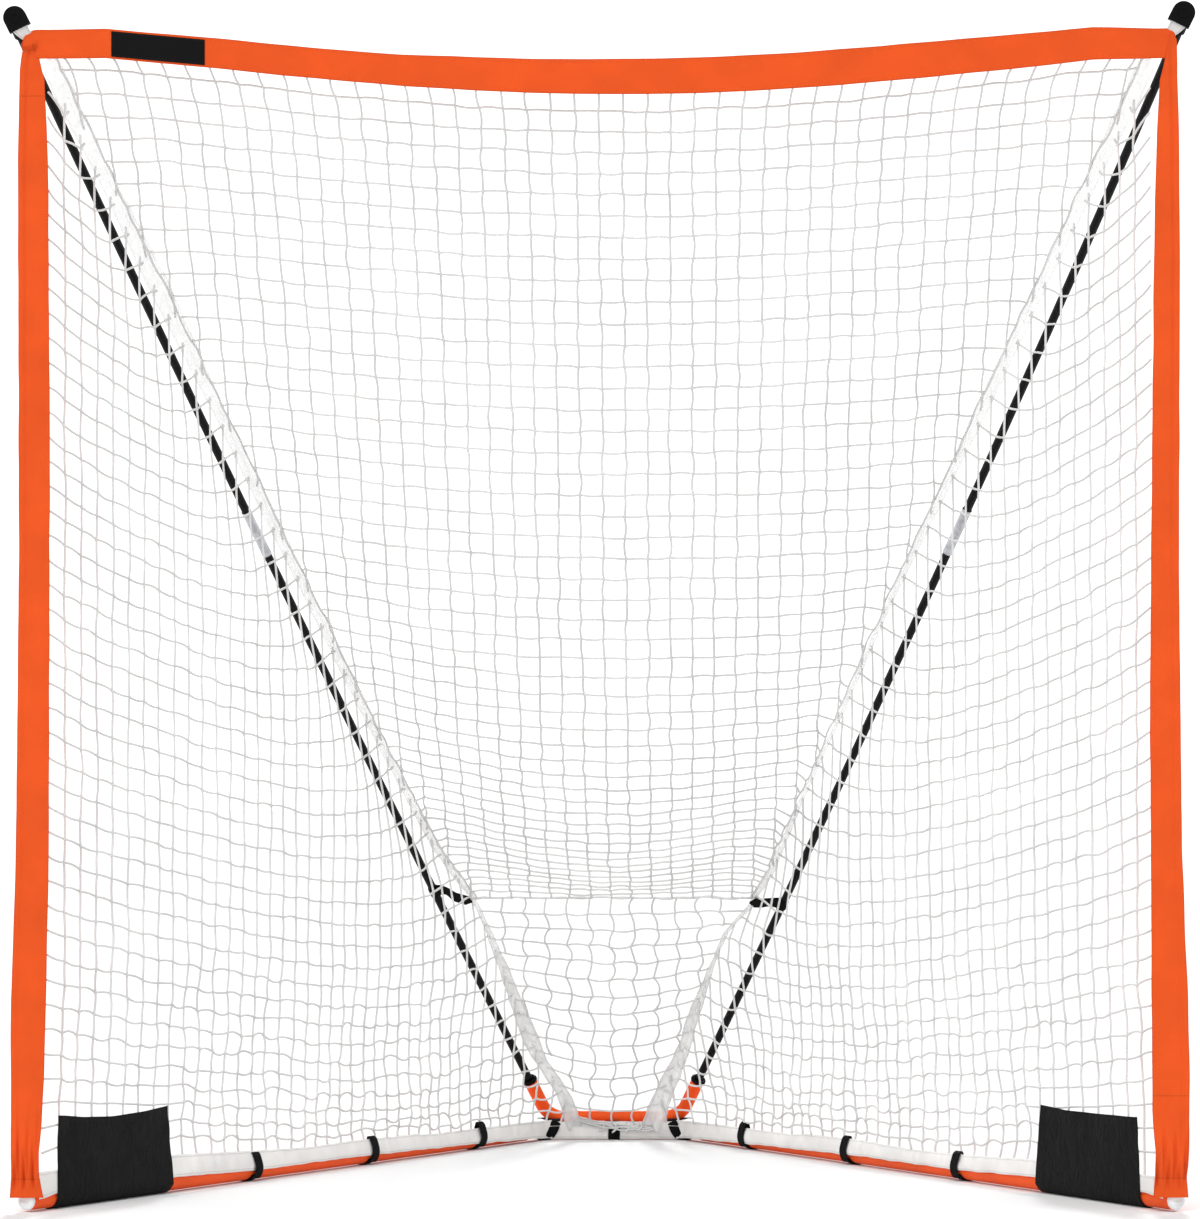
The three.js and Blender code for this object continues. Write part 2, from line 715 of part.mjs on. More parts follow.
// An outline whose sides are each moved inwards by their own distance.
function moveInwards(outline, distances) {
  const sidesOf = outline.map((corner, i) => {
    const way = outline[(i + 1) % outline.length].clone().sub(corner).normalize();
    const inwards = new THREE.Vector2(-way.y, way.x);
    return { way, start: corner.clone().addScaledVector(inwards, distances[i]) };
  });
  return sidesOf.map((side, i) => {
    const before = sidesOf[(i + outline.length - 1) % outline.length];
    const gap = side.start.clone().sub(before.start);
    const run = gap.cross(side.way) / before.way.cross(side.way);
    return before.start.clone().addScaledVector(before.way, run);
  });
}

// The knots and cords of a square mesh cut to a convex outline, with a cord round its edge.
class CordPlan {
  constructor(outline, gap) {
    this.knots = [];
    this.neighbours = [];
    outline.forEach((corner) => this.knot(corner));
    const bounds = new THREE.Box2().setFromPoints(outline);
    const edges = outline.map((corner, i) => [corner, outline[(i + 1) % outline.length]]);
    const border = edges.map((edge) => [...edge]);
    const lines = ["x", "y"].flatMap((axis) => {
      const count = Math.ceil((bounds.max[axis] - bounds.min[axis]) / gap);
      const middle = (bounds.max[axis] + bounds.min[axis]) / 2;
      const phase = axis === "x" ? middle - (Math.floor(count / 2) * gap) : bounds.min[axis];
      return Array.from({ length: count + 1 }, (_, i) => ({ axis, at: phase + i * gap }));
    });
    for (const line of lines) {
      line.ends = edges.flatMap(([from, to], side) => {
        const share = (line.at - from[line.axis]) / (to[line.axis] - from[line.axis]);
        if (!(share >= 0 && share < 1)) return [];
        const end = from.clone().lerp(to, share);
        border[side].push(end);
        return [end];
      });
    }
    border.forEach((points, side) => this.run(points, edges[side][0]));
    const kept = lines.filter((line) => line.ends.length === 2);
    for (const line of kept) {
      const crossings = kept
        .filter((other) => other.axis !== line.axis)
        .map((other) => (line.axis === "x" ? [line.at, other.at] : [other.at, line.at]))
        .map(([x, y]) => new THREE.Vector2(x, y))
        .filter((point) => {
          const [a, b] = line.ends;
          return a.clone().sub(point).dot(b.clone().sub(point)) < 0;
        });
      this.run([...line.ends, ...crossings], line.ends[0]);
    }
  }
  knot(place) {
    const near = this.knots.findIndex((other) => other.distanceTo(place) < knotReach);
    if (near >= 0) return near;
    this.neighbours.push(new Set());
    return this.knots.push(place.clone()) - 1;
  }
  run(points, from) {
    const sorted = [...points].sort((a, b) => a.distanceTo(from) - b.distanceTo(from));
    const numbers = sorted.map((point) => this.knot(point));
    for (let i = 1; i < numbers.length; i++) {
      if (numbers[i] === numbers[i - 1]) continue;
      this.neighbours[numbers[i]].add(numbers[i - 1]);
      this.neighbours[numbers[i - 1]].add(numbers[i]);
    }
  }
}

// A net: every cord is a flat bar between two knots, and the corners of the bars meet round each knot.
function cordNet(outline, hang) {
  const plan = new CordPlan(outline, netGap);
  const positions = [];
  const faces = [];
  const corners = plan.knots.map((place, number) => {
    const around = [...plan.neighbours[number]].map((other) => {
      const way = plan.knots[other].clone().sub(place).normalize();
      return { other, way, angle: way.angle() };
    });
    around.sort((a, b) => a.angle - b.angle);
    return around.map((cord, i) => {
      const next = around[(i + 1) % around.length];
      const left = new THREE.Vector2(-cord.way.y, cord.way.x);
      const right = new THREE.Vector2(next.way.y, -next.way.x);
      const mitre = left.clone().add(right).multiplyScalar(cordWidth / 2 / (1 + left.dot(right)));
      const flat = place.clone().add(mitre);
      const first = positions.length / 3;
      for (const level of [1, -1]) {
        hang(flat, (level * cordThickness) / 2).toArray(positions, positions.length);
      }
      return { other: cord.other, top: first, bottom: first + 1 };
    });
  });
  const quad = (a, b, c, d) => faces.push(a, b, c, a, c, d);
  corners.forEach((spots, number) => {
    for (let i = 2; i < spots.length; i++) {
      faces.push(spots[0].top, spots[i - 1].top, spots[i].top);
      faces.push(spots[0].bottom, spots[i].bottom, spots[i - 1].bottom);
    }
    spots.forEach((left, i) => {
      if (left.other < number) return;
      const right = spots[(i + spots.length - 1) % spots.length];
      const far = corners[left.other];
      const back = far.findIndex((spot) => spot.other === number);
      const farLeft = far[back];
      const farRight = far[(back + far.length - 1) % far.length];
      quad(right.top, farLeft.top, farRight.top, left.top);
      quad(right.bottom, left.bottom, farRight.bottom, farLeft.bottom);
      quad(right.bottom, farLeft.bottom, farLeft.top, right.top);
      quad(farRight.bottom, left.bottom, left.top, farRight.top);
    });
  });
  const geometry = new THREE.BufferGeometry();
  geometry.setAttribute("position", new THREE.Float32BufferAttribute(positions, 3));
  geometry.setIndex(faces);
  const flat = geometry.toNonIndexed();
  flat.computeVertexNormals();
  const cords = plan.neighbours.reduce((sum, set) => sum + set.size, 0) / 2;
  return { geometry: flat, gaps: cords - plan.knots.length + 1 };
}

// Hangs a flat layout on a surface: a spot and a height above it, from a place in millimetres.
function hangOn(place, scale) {
  return (flat, height) => {
    const surface = (u, v) => place(u * scale.x, v * scale.y);
    const [u, v] = [flat.x / scale.x, flat.y / scale.y];
    const step = probeShare;
    const across = surface(u + step, v).sub(surface(u - step, v));
    const along = surface(u, v + step).sub(surface(u, v - step));
    return surface(u, v).addScaledVector(across.cross(along).normalize(), height);
  };
}

const seamInset = tapeHalfWidth + seamGap + cordWidth / 2;
const lengthSteps = 24;
const roofLength = runLength((share) => roofPoint(0, share), lengthSteps);
const rearLength = runLength((share) => rearPoint(0, share), lengthSteps);
const foldInset = cordWidth / 2 + foldGap;

const roofHead = seamPoint(0, true).x;
const roofOutline = moveInwards(
  [
    new THREE.Vector2(-roofHead, 0),
    new THREE.Vector2(roofHead, 0),
    new THREE.Vector2(foldCorner.x, roofLength),
    new THREE.Vector2(-foldCorner.x, roofLength),
  ],
  [0, seamInset, foldInset, seamInset],
);
const roofNet = cordNet(
  roofOutline,
  hangOn((x, along) => roofPoint(x, along / roofLength), { x: roofHead, y: roofLength }),
);
add(model, "roof_net", roofNet.geometry, netCord);

const rearFoot = seamPoint(1, false).x;
const rearOutline = moveInwards(
  [
    new THREE.Vector2(-foldCorner.x, 0),
    new THREE.Vector2(foldCorner.x, 0),
    new THREE.Vector2(rearFoot, rearLength),
    new THREE.Vector2(-rearFoot, rearLength),
  ],
  [foldInset, seamInset, 0, seamInset],
);
const rearNet = cordNet(
  rearOutline,
  hangOn((x, along) => rearPoint(x, along / rearLength), { x: foldCorner.x, y: rearLength }),
);
add(model, "rear_net", rearNet.geometry, netCord);

// The side net sags in its own plane, most where it is widest.
const netFoot = railSkirtHeights.top + cordWidth / 2 + slipGap;
const skirtEnd = axisLength - skirtEndSetback;
const sideCorners = [
  new THREE.Vector2(seamTop[0], netFoot),
  new THREE.Vector2(skirtEnd, netFoot),
  new THREE.Vector2(seamFoot[0], seamFoot[1]),
  new THREE.Vector2(seamFold[0], seamFold[1]),
  new THREE.Vector2(seamTop[0], seamTop[1]),
];
const sideOutline = moveInwards(sideCorners, [0, 0, seamInset, seamInset, 0]);

function seamHeight(along) {
  const table = [seamTop, seamFold, seamFoot];
  return between(table, along);
}

function saggedSide(along, height) {
  const ceiling = seamHeight(along);
  const rise = THREE.MathUtils.clamp((height - netFoot) / (ceiling - netFoot), 0, 1);
  const run = THREE.MathUtils.clamp((along - seamTop[0]) / (seamFoot[0] - seamTop[0]), 0, 1);
  const edge = Math.min(1, (ceiling - height) / netGap);
  const drop = sideSag * Math.sin(Math.PI * rise) * Math.sin(Math.PI * run) * Math.max(edge, 0);
  return sidePoint(along, height - drop);
}

const sideNet = cordNet(sideOutline, hangOn(saggedSide, { x: axisLength, y: seamTop[1] }));
addPair("side", "side_net", sideNet.geometry, netCord);

// The seam tapes: folded along the seam, half on the roof or rear net's edge and half on the side net's.
// Above the fold the roof's edge lies a little off the seam, so that half leads from one to the other.
function tapePoint(u, v) {
  const upperLength = seamPoint(0, true).distanceTo(foldCorner);
  const foldShare = tapeFoldStep / tapeSteps;
  const upper = v <= foldShare;
  const share = upper ? lerp(tapeStart / upperLength, 1, v / foldShare) : (v - foldShare) / (1 - foldShare);
  const spread = Math.abs(2 * u - 1) * tapeHalfWidth;
  if (u > 1 / 2) {
    const flat = seamFlat(share, upper);
    const turn = THREE.MathUtils.clamp(((v - foldShare) * tapeSteps + 1) / 2, 0, 1);
    const way = seamWay(true).lerp(seamWay(false), turn).normalize();
    return sidePoint(flat.x + way.y * spread, flat.y - way.x * spread);
  }
  const edge = seamPoint(share, upper);
  if (!upper) return rearPoint(edge.x - spread, share);
  const shift = edge.clone().sub(roofPoint(edge.x, share)).multiplyScalar(1 - spread / tapeHalfWidth);
  return roofPoint(edge.x - spread, share).add(shift);
}
addPair("side", "seam_tape", bentSheet(2, tapeSteps, tapeThickness, tapePoint), whiteFabric);

// The hook-and-loop straps: a ring round the tube and the lower part of the skirt beside it.
function strapOutline(coreRadius, skirt, allowance) {
  const core = ring(flatsRadius(coreRadius + slipGap + allowance, strapSides), strapSides);
  if (!skirt) return core;
  const reach = coreRadius + slipGap + skirtThickness + slipGap;
  const radius = Math.max(allowance, weldTolerance);
  const bead = (height) => ring(radius, strapSides, new THREE.Vector2(-reach, height - groundHeight));
  return hullOf([...core, ...bead(skirt.low - slipGap), ...bead(skirt.shoulder)]);
}

function buildStrap(coreRadius, skirt, extraGap = 0) {
  const inner = strapOutline(coreRadius + extraGap, skirt, 0);
  const outer = strapOutline(coreRadius + extraGap, skirt, strapThickness);
  return extrudeAlongY(outlineWithHole(outer, inner), strapWidth).translate(0, -strapWidth / 2, 0);
}

// The slit that a strap passes through, near the top of a skirt.
function strapSlit(coreRadius, skirt) {
  const outline = strapOutline(coreRadius, skirt, strapThickness + slipGap);
  const length = strapWidth + 2 * slipGap;
  const passage = extrudeAlongY(new THREE.Shape(outline), length).translate(0, -length / 2, groundHeight);
  const below = new THREE.BoxGeometry(4 * coreRadius, length + 2 * overrun, skirt.shoulder);
  below.translate(0, 0, skirt.shoulder / 2 - slitDrop);
  return solid(passage).subtract(solid(below));
}

const strapPlaces = Array.from(
  { length: strapsPerRail },
  (_, i) => axisLength - lastStrapSetback - (strapsPerRail - 1 - i) * strapPitch,
);
strapPlaces.forEach((along, i) => {
  const place = new THREE.Vector3(0, along, groundHeight);
  addPair("rail", `rail_strap_${i + 1}`, buildStrap(railRadius, railSkirtHeights), blackFabric, place);
});

const cornerPoint = groundPoints[1 + bendSteps / 2];
const cornerWay = new Route(groundPoints).getTangentAt((1 + bendSteps / 2) / (groundPoints.length - 1));
const cornerTurn = new THREE.Quaternion().setFromUnitVectors(lathesAxis, cornerWay);
const cornerStrap = buildStrap(stubRadius, null, cornerStrapGap);
addPair("side", "corner_strap", cornerStrap, blackFabric, cornerPoint, cornerTurn);

const rearTurn = new THREE.Quaternion().setFromAxisAngle(up, Math.PI / 2);
const rearPlace = new THREE.Vector3(0, goalDepth, groundHeight);
add(model, "rear_strap", buildStrap(stubRadius, rearSkirtHeights), blackFabric, rearPlace, rearTurn);

// The skirts: upright bands beside the tubes, with a passage for each strap.
function buildSkirt(from, to, heights, coreRadius, places) {
  const { low, top } = heights;
  const box = new THREE.BoxGeometry(skirtThickness, to - from, top - low);
  box.translate(-coreRadius - slipGap - skirtThickness / 2, (from + to) / 2, (low + top) / 2);
  const slit = strapSlit(coreRadius, heights);
  return geometryOf(places.reduce((skirt, along) => skirt.subtract(slit.translate([0, along, 0])), solid(box)));
}
const railSkirt = buildSkirt(skirtStart, skirtEnd, railSkirtHeights, railRadius, strapPlaces);
addPair("rail", "rail_skirt", railSkirt, whiteFabric);
const rearSkirt = buildSkirt(-rearSkirtHalfLength, rearSkirtHalfLength, rearSkirtHeights, stubRadius, [0]);
add(model, "rear_skirt", rearSkirt, whiteFabric, new THREE.Vector3(0, goalDepth, 0), rearTurn);

// The corner panels: a sheet up the inside of the net, under the rail and a little way up its outside.
function buildCornerPanel() {
  const core = railRadius + slipGap;
  const inner = ring(flatsRadius(core, strapSides), strapSides);
  const outer = ring(flatsRadius(core + strapThickness, strapSides), strapSides);
  const inside = core + skirtThickness + slipGap;
  const below = (points) => points.filter((p) => p.y < 0).sort((a, b) => a.x - b.x);
  const turnIn = railSkirtHeights.low - slipGap - groundHeight;
  const outline = [
    new THREE.Vector2(-inside - strapThickness, panelHeight - groundHeight),
    new THREE.Vector2(-inside - strapThickness, turnIn),
    ...below(outer),
    new THREE.Vector2(core + strapThickness, panelOuterHeight - groundHeight),
    new THREE.Vector2(core, panelOuterHeight - groundHeight),
    ...below(inner).reverse(),
    new THREE.Vector2(-inside, turnIn),
    new THREE.Vector2(-inside, panelHeight - groundHeight),
  ];
  return extrudeAlongY(new THREE.Shape(outline), panelLength);
}
const panelPlace = new THREE.Vector3(0, panelStart, groundHeight);
addPair("rail", "corner_panel", buildCornerPanel(), blackFabric, panelPlace);

// The pull straps: a loop round the pole whose two ends are sewn together and reach to the fold corner.
function buildPullStrap(reach) {
  const bore = flatsRadius(poleRadius + slipGap, smallSides);
  const outer = ring(bore + pullThickness / 2, smallSides);
  const tailEnd = [
    new THREE.Vector2(reach, pullThickness / 2),
    new THREE.Vector2(reach, -pullThickness / 2),
  ];
  const shape = outlineWithHole(hullOf([...outer, ...tailEnd]), ring(bore, smallSides));
  const geometry = new THREE.ExtrudeGeometry(shape, { depth: pullWidth, bevelEnabled: false });
  return geometry.translate(0, 0, -pullWidth / 2);
}
const tapeEdge = foldCorner.clone().sub(pullAnchor);
const pullAcross = tapeEdge.clone().addScaledVector(pullWay, -tapeEdge.dot(pullWay)).normalize();
const pullUpright = pullWay.clone().cross(pullAcross);
const pullBasis = new THREE.Matrix4().makeBasis(pullAcross, pullUpright, pullWay);
const pullTurn = new THREE.Quaternion().setFromRotationMatrix(pullBasis);
const pullReach = tapeEdge.length() - pullWidth / 2;
addPair("side", "pull_strap", buildPullStrap(pullReach), blackFabric, pullAnchor, pullTurn);

// The tip caps: an arched shell with a slot for the webbing, a ring on its face and a pocket for the pole.
function buildTipCap() {
  const arch = new THREE.Shape();
  arch.moveTo(-capHalfWidth, -capDrop);
  arch.lineTo(capHalfWidth, -capDrop);
  arch.lineTo(capHalfWidth, 0);
  arch.absarc(0, 0, capHalfWidth, 0, Math.PI, false);
  const depth = capBackPlate + capSlot + capFrontPlate;
  const curveSegments = 8;
  const shell = new THREE.ExtrudeGeometry(arch, { depth, bevelEnabled: false, curveSegments });
  const slot = new THREE.BoxGeometry(2 * capSlotHalfWidth, capSlotTop + capDrop + overrun, capSlot);
  slot.translate(0, (capSlotTop - capDrop - overrun) / 2, capBackPlate + capSlot / 2);
  const boss = turned(
    [
      [capRingBore, -overrun],
      [capRingRadius, -overrun],
      [capRingRadius, capRingHeight],
      [capRingBore, capRingHeight],
      [capRingBore, -overrun],
    ],
    smallSides,
  );
  boss.rotateX(Math.PI / 2).translate(0, 0, depth);
  const place = (geometry) => {
    const leaning = geometry.rotateX(Math.PI / 2).rotateY(capLean);
    return solid(leaning.translate(capOffset.x, capOffset.y, capOffset.z));
  };
  const turn = new THREE.Quaternion().setFromUnitVectors(lathesAxis, tipWay);
  const rod = (radius, from, to) => {
    const cylinder = new THREE.CylinderGeometry(radius, radius, to - from, smallSides);
    return solid(cylinder.translate(0, (from + to) / 2, 0).applyQuaternion(turn));
  };
  const bore = flatsRadius(poleRadius + pocketClearance, smallSides);
  const pocket = rod(bore + pocketWall, -pocketDepth, pocketClearance + pocketWall);
  const hollow = rod(bore, -pocketDepth - overrun, pocketClearance);
  const body = place(shell).subtract(place(slot)).add(place(boss)).add(pocket);
  return geometryOf(body.subtract(hollow));
}
addPair("side", "tip_cap", buildTipCap(), blackPlastic, poleTip);

// The webbing is sewn to the upper edge of the band's end and runs into the slot of the cap.
const capUp = new THREE.Vector3(Math.sin(capLean), 0, Math.cos(capLean));
const capAcross = new THREE.Vector3(Math.cos(capLean), 0, -Math.sin(capLean));
const slotMiddle = new THREE.Vector3(capOffset.x, capOffset.y - capBackPlate - capSlot / 2, capOffset.z);
const footX = bandHalfWidth - webbingFootInset;
const footLow = footX + (webbingFootWidth / 2) * capAcross.x;
const webbingFoot = new THREE.Vector3(
  footX,
  -bandThickness / 2,
  bandTop(footLow) + slipGap - (webbingFootWidth / 2) * capAcross.z,
).sub(poleTip);
const webbingRoute = [
  webbingFoot,
  slotMiddle.clone().addScaledVector(capUp, -capDrop),
  slotMiddle.clone().addScaledVector(capUp, capSlotTop - 2 * slipGap),
];
const webbingSteps = 6;
const webbing = bentSheet(1, webbingSteps, webbingThickness, (u, v) => {
  const free = Math.min(2 * v, 1);
  const inside = Math.max(2 * v - 1, 0);
  const point = webbingRoute[0].clone().lerp(webbingRoute[1], free).lerp(webbingRoute[2], inside);
  const width = lerp(webbingFootWidth, webbingWidth, free);
  return point.addScaledVector(capAcross, (u - 1 / 2) * width);
});
addPair("side", "tip_webbing", webbing, greyWebbing, poleTip);

// The whole goal stands with the middle of its outline over the origin, on the ground.
const gaps = roofNet.gaps + rearNet.gaps + 2 * sideNet.gaps;
console.log(`${gaps} gaps in the nets`);
const extent = new THREE.Box3().setFromObject(model, true);
const centre = extent.getCenter(new THREE.Vector3());
model.position.set(-centre.x, -centre.y, -extent.min.z);

const goal = new THREE.Group();
goal.add(model);

export default goal;
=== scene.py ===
"""A portable lacrosse goal: a V of ground tubes, two bowed poles and a white net edged with orange fabric.

Lengths inside the classes are millimetres in the goal's own plan: X runs across the mouth, Y from the
mouth to the back, and Z up from the ground. Layout.at turns them into the frame's metres.
"""

import logging
import math
import random
from dataclasses import dataclass, field
from enum import Enum
from typing import Callable, Iterable, Sequence

import bmesh
import bpy
from mathutils import Matrix, Vector, noise


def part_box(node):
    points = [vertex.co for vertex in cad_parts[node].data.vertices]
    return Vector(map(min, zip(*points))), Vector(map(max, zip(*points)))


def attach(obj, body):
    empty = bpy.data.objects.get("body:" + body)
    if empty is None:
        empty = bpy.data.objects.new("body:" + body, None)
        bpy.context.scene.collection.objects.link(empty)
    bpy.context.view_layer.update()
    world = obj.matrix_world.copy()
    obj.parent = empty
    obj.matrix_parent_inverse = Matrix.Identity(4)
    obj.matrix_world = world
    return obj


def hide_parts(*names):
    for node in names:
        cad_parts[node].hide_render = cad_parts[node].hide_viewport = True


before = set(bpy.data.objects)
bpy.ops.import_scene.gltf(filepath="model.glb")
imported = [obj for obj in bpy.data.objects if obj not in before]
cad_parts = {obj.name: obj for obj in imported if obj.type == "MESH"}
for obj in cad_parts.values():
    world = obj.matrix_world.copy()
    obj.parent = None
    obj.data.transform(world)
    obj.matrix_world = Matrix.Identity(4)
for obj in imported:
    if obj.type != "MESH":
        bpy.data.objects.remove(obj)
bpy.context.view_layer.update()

log = logging.getLogger("goal")
logging.basicConfig(level=logging.INFO, format="%(name)s: %(message)s")

MM = 0.001
SEED = 4013
Place = Callable[[float, float], Vector]
Table = Sequence[tuple[float, float]]
Colour = tuple[float, float, float]

noise.seed_set(SEED)


class Side(Enum):
    """The two mirrored halves of the goal."""

    RIGHT = 1
    LEFT = -1

    @property
    def label(self) -> str:
        """The word that starts this half's piece names."""
        return self.name.lower()


def side_of(x: float) -> Side:
    """The half of the goal that a distance from its middle is on."""
    return Side(round(math.copysign(1, x)))


def smooth(value: float) -> float:
    """Eases a number into a share that is held between 0 and 1."""
    share = min(max(value, 0.0), 1.0)
    return share * share * (3 - 2 * share)


def lerp(low: float, high: float, share: float) -> float:
    """Blends two numbers: the low one at a share of 0, the high one at 1."""
    return low + (high - low) * share


def between(table: Table, place: float) -> float:
    """Reads a table of places and values, with straight lines between its rows.

    Args:
        table: Rows of place and value, in rising order of place.
        place: Where to read it.

    Returns:
        The value there.
    """
    if place <= table[0][0]:
        return table[0][1]
    for (low, first), (high, second) in zip(table, table[1:]):
        if place <= high:
            return lerp(first, second, (place - low) / (high - low))
    return table[-1][1]


def ripple(x: float, y: float = 0.0, z: float = 0.0) -> float:
    """Smooth noise between about -1 and 1, the same way each run."""
    return noise.noise(Vector((x, y, z)))


def wobble(point: Vector, scale: float, amount: float) -> Vector:
    """The shift of a point by smooth noise with lumps of a size, at most by an amount."""
    return noise.noise_vector(point / scale) * amount


def flow(points: Sequence[Vector], share: float) -> Vector:
    """Finds a place on the smooth curve through some points.

    Args:
        points: The points.
        share: 0 at the first and 1 at the last; each span between two points has an equal share.

    Returns:
        The place.
    """
    last = len(points) - 1
    run = min(max(share, 0.0), 1.0) * last
    span = min(int(run), last - 1)
    before, first, second, after = (points[min(max(span + k, 0), last)] for k in (-1, 0, 1, 2))
    t = run - span
    bend = before * 2 - first * 5 + second * 4 - after
    twist = (first - second) * 3 - before + after
    return first + ((second - before) * t + bend * t**2 + twist * t**3) / 2


class Path:
    """A flat line that can be read by the distance along it."""

    def __init__(self, points: Sequence[tuple[float, float]]) -> None:
        """Measures the line.

        Args:
            points: Its corners.
        """
        self.length = 0.0
        self.xs, self.ys = ([(0.0, number)] for number in points[0])
        for first, last in zip(points, points[1:]):
            self.length += math.dist(first, last)
            self.xs.append((self.length, last[0]))
            self.ys.append((self.length, last[1]))

    def at(self, run: float) -> tuple[float, float]:
        """Finds the place at a distance along the line."""
        return between(self.xs, run), between(self.ys, run)


@dataclass(frozen=True)
class Layout:
    """Where everything is: the same values as the solids are drawn from, in millimetres."""

    half_mouth: float = 914.5
    mouth_height: float = 1829
    depth: float = 1590
    rail_outset: float = 10.5
    rear_half_width: float = 134
    rail_radius: float = 16
    stub_radius: float = 14.2
    socket_radius: float = 12.7
    pole_radius: float = 7.5
    wall: float = 1.5
    ground_height: float = 18.3
    joint_setback: float = 81
    ground_bend: float = 60
    socket_bend: float = 45
    tubes_gap: float = 2.9
    weld_angle: float = math.pi * 0.272
    socket_half_width: float = 126.6
    socket_arm: float = 94
    band_sag: float = 56
    sag_reach: float = 800
    sag_fullness: float = 0.55
    band_lifts: Table = ((-890, 10.5), (-622, 12), (-516, 10.5), (-240, 7.6), (0, 5.5), (165, 3), (327, 1.7),
                         (731, 0.8), (893, 4))
    band_ends: tuple[float, float] = (936, 934)
    band_corners: tuple[float, float] = (26, 12)
    band_heights: Table = ((-890, 47.3), (-622, 49), (-322, 50.5), (-240, 53.7), (0, 57), (120, 58.2),
                           (489, 58), (731, 55), (828, 52), (900, 48.5))
    net_lean: float = 10.5
    net_tuck: float = 30
    tuck_length: float = 141
    roof_sag: float = 260
    roof_sag_power: float = 1.6
    seam_headroom: float = 7
    pull_share: float = 0.17
    skirt_top: float = 54
    skirt_edges: dict[Side, Table] = field(
        default_factory=lambda: {
            Side.LEFT: ((430, 64), (680, 53.5), (860, 47), (1030, 48), (1240, 45), (1300, 41), (1590, 40),
                        (1760, 38)),
            Side.RIGHT: ((430, 55), (680, 46), (860, 44), (1030, 48), (1240, 45), (1300, 41), (1590, 40),
                         (1760, 38)),
        }
    )
    seam_shifts: dict[Side, Table] = field(
        default_factory=lambda: {
            Side.LEFT: ((34, 10), (90, 23), (150, 17), (226, 13), (348, 6), (448, -3), (498, -13), (567, -29),
                        (720, -31), (925, -27), (1850, 0)),
            Side.RIGHT: ((34, 14), (90, 24), (150, 31), (243, 36), (348, 28), (405, 20), (453, -12),
                         (511, -24), (580, -19), (663, -14), (815, -10), (1000, 0)),
        }
    )
    shift_reach: float = 240
    stub_insertion: float = 90
    pole_clearance: float = 0.35
    tip_offset: tuple[float, float, float] = (35.5, 5, 101)
    bow_pull: tuple[float, float, float] = (145, -31, 253)
    fold_offset: tuple[float, float, float] = (-77, 0, -13)
    foot_overrun: float = 6
    foot_height: float = 34
    net_inset: float = 0.8
    strip_back: float = 6.4
    band_back: float = 3.1
    net_rise: float = 5
    lean_start: float = 160
    lean_reach: float = 300
    rear_belly: float = 27
    rear_slump: float = 8

    @property
    def rail_end(self) -> float:
        """How far out a rail's axis is at the mouth."""
        return self.half_mouth + self.rail_outset

    @property
    def angle(self) -> float:
        """The angle in plan between a rail and the goal's own middle line."""
        return math.atan2(self.rail_end - self.rear_half_width, self.depth)

    @property
    def bend_angle(self) -> float:
        """How far the ground tubes turn at a rear corner."""
        return math.pi / 2 - self.angle

    @property
    def axis_length(self) -> float:
        """The length of a rail's axis from the mouth to the rear tube's axis."""
        return math.hypot(self.rail_end - self.rear_half_width, self.depth)

    @property
    def rail_length(self) -> float:
        """The length of a rail's tube."""
        return self.axis_length - self.joint_setback

    @property
    def band_corner(self) -> float:
        """The height of the band's lower edge at its ends."""
        return self.mouth_height + self.band_sag / 2

    def at(self, point: Vector, side: Side = Side.RIGHT) -> Vector:
        """Turns a place in the plan of the right half into the frame's metres, on either half."""
        return Vector((point.x * side.value, point.y, point.z)) * MM + MOUTH

    def beside(self, along: float, inward: float, height: float) -> Vector:
        """Finds a place beside the right rail.

        Args:
            along: Distance along the rail from the mouth.
            inward: Distance from its axis towards the goal's middle.
            height: Height above the ground.

        Returns:
            The place in the goal's plan.
        """
        sine, cosine = math.sin(self.angle), math.cos(self.angle)
        outward = self.rail_end - along * sine - inward * cosine
        return Vector((outward, along * cosine - inward * sine, height))

    def band_low(self, x: float) -> float:
        """The height of the band's lower edge.

        Args:
            x: Distance to the right of the goal's middle.

        Returns:
            The height in millimetres.
        """
        share = min(abs(x) / self.sag_reach, 1.0)
        slack = self.band_sag * (1 - share**2 * (1 + self.sag_fullness * (1 - share)))
        return self.band_corner - slack + between(self.band_lifts, x)

    def band_top(self, x: float) -> float:
        """The height of the band's upper edge, which is rounded off at both ends.

        Args:
            x: Distance to the right of the goal's middle.

        Returns:
            The height in millimetres.
        """
        index = 0 if x < 0 else 1
        radius = self.band_corners[index]
        reach = min(max((self.band_ends[index] - abs(x)) / radius, 0.0), 1.0)
        fall = radius * (1 - math.sqrt(1 - (1 - reach) ** 2))
        return self.band_low(x) + between(self.band_heights, x) - fall

    def inside(self, along: float, inward: float, height: float) -> Vector:
        """Finds a place on the inner side of the ground tubes, which is carried on round the bend.

        Args:
            along: Distance along the tubes' axis from the mouth.
            inward: Distance from the axis towards the goal's middle.
            height: Height above the ground.

        Returns:
            The place in the goal's plan.
        """
        turn = self.bend_angle
        bend = self.axis_length - self.ground_bend * math.tan(turn / 2)
        if along <= bend:
            return self.beside(along, inward, height)
        swing = min((along - bend) / self.ground_bend, turn)
        middle = self.beside(bend, self.ground_bend, height)
        aim = self.angle + swing
        reach = self.ground_bend - inward
        rest = max(along - bend - self.ground_bend * turn, 0.0)
        return middle + Vector((math.cos(aim) * reach - rest, math.sin(aim) * reach, 0))

    @property
    def skirt_meet(self) -> float:
        """How far along the axis the rail's skirt meets the rear one, halfway round the bend."""
        turn = self.bend_angle
        return self.axis_length + self.ground_bend * (turn / 2 - math.tan(turn / 2))

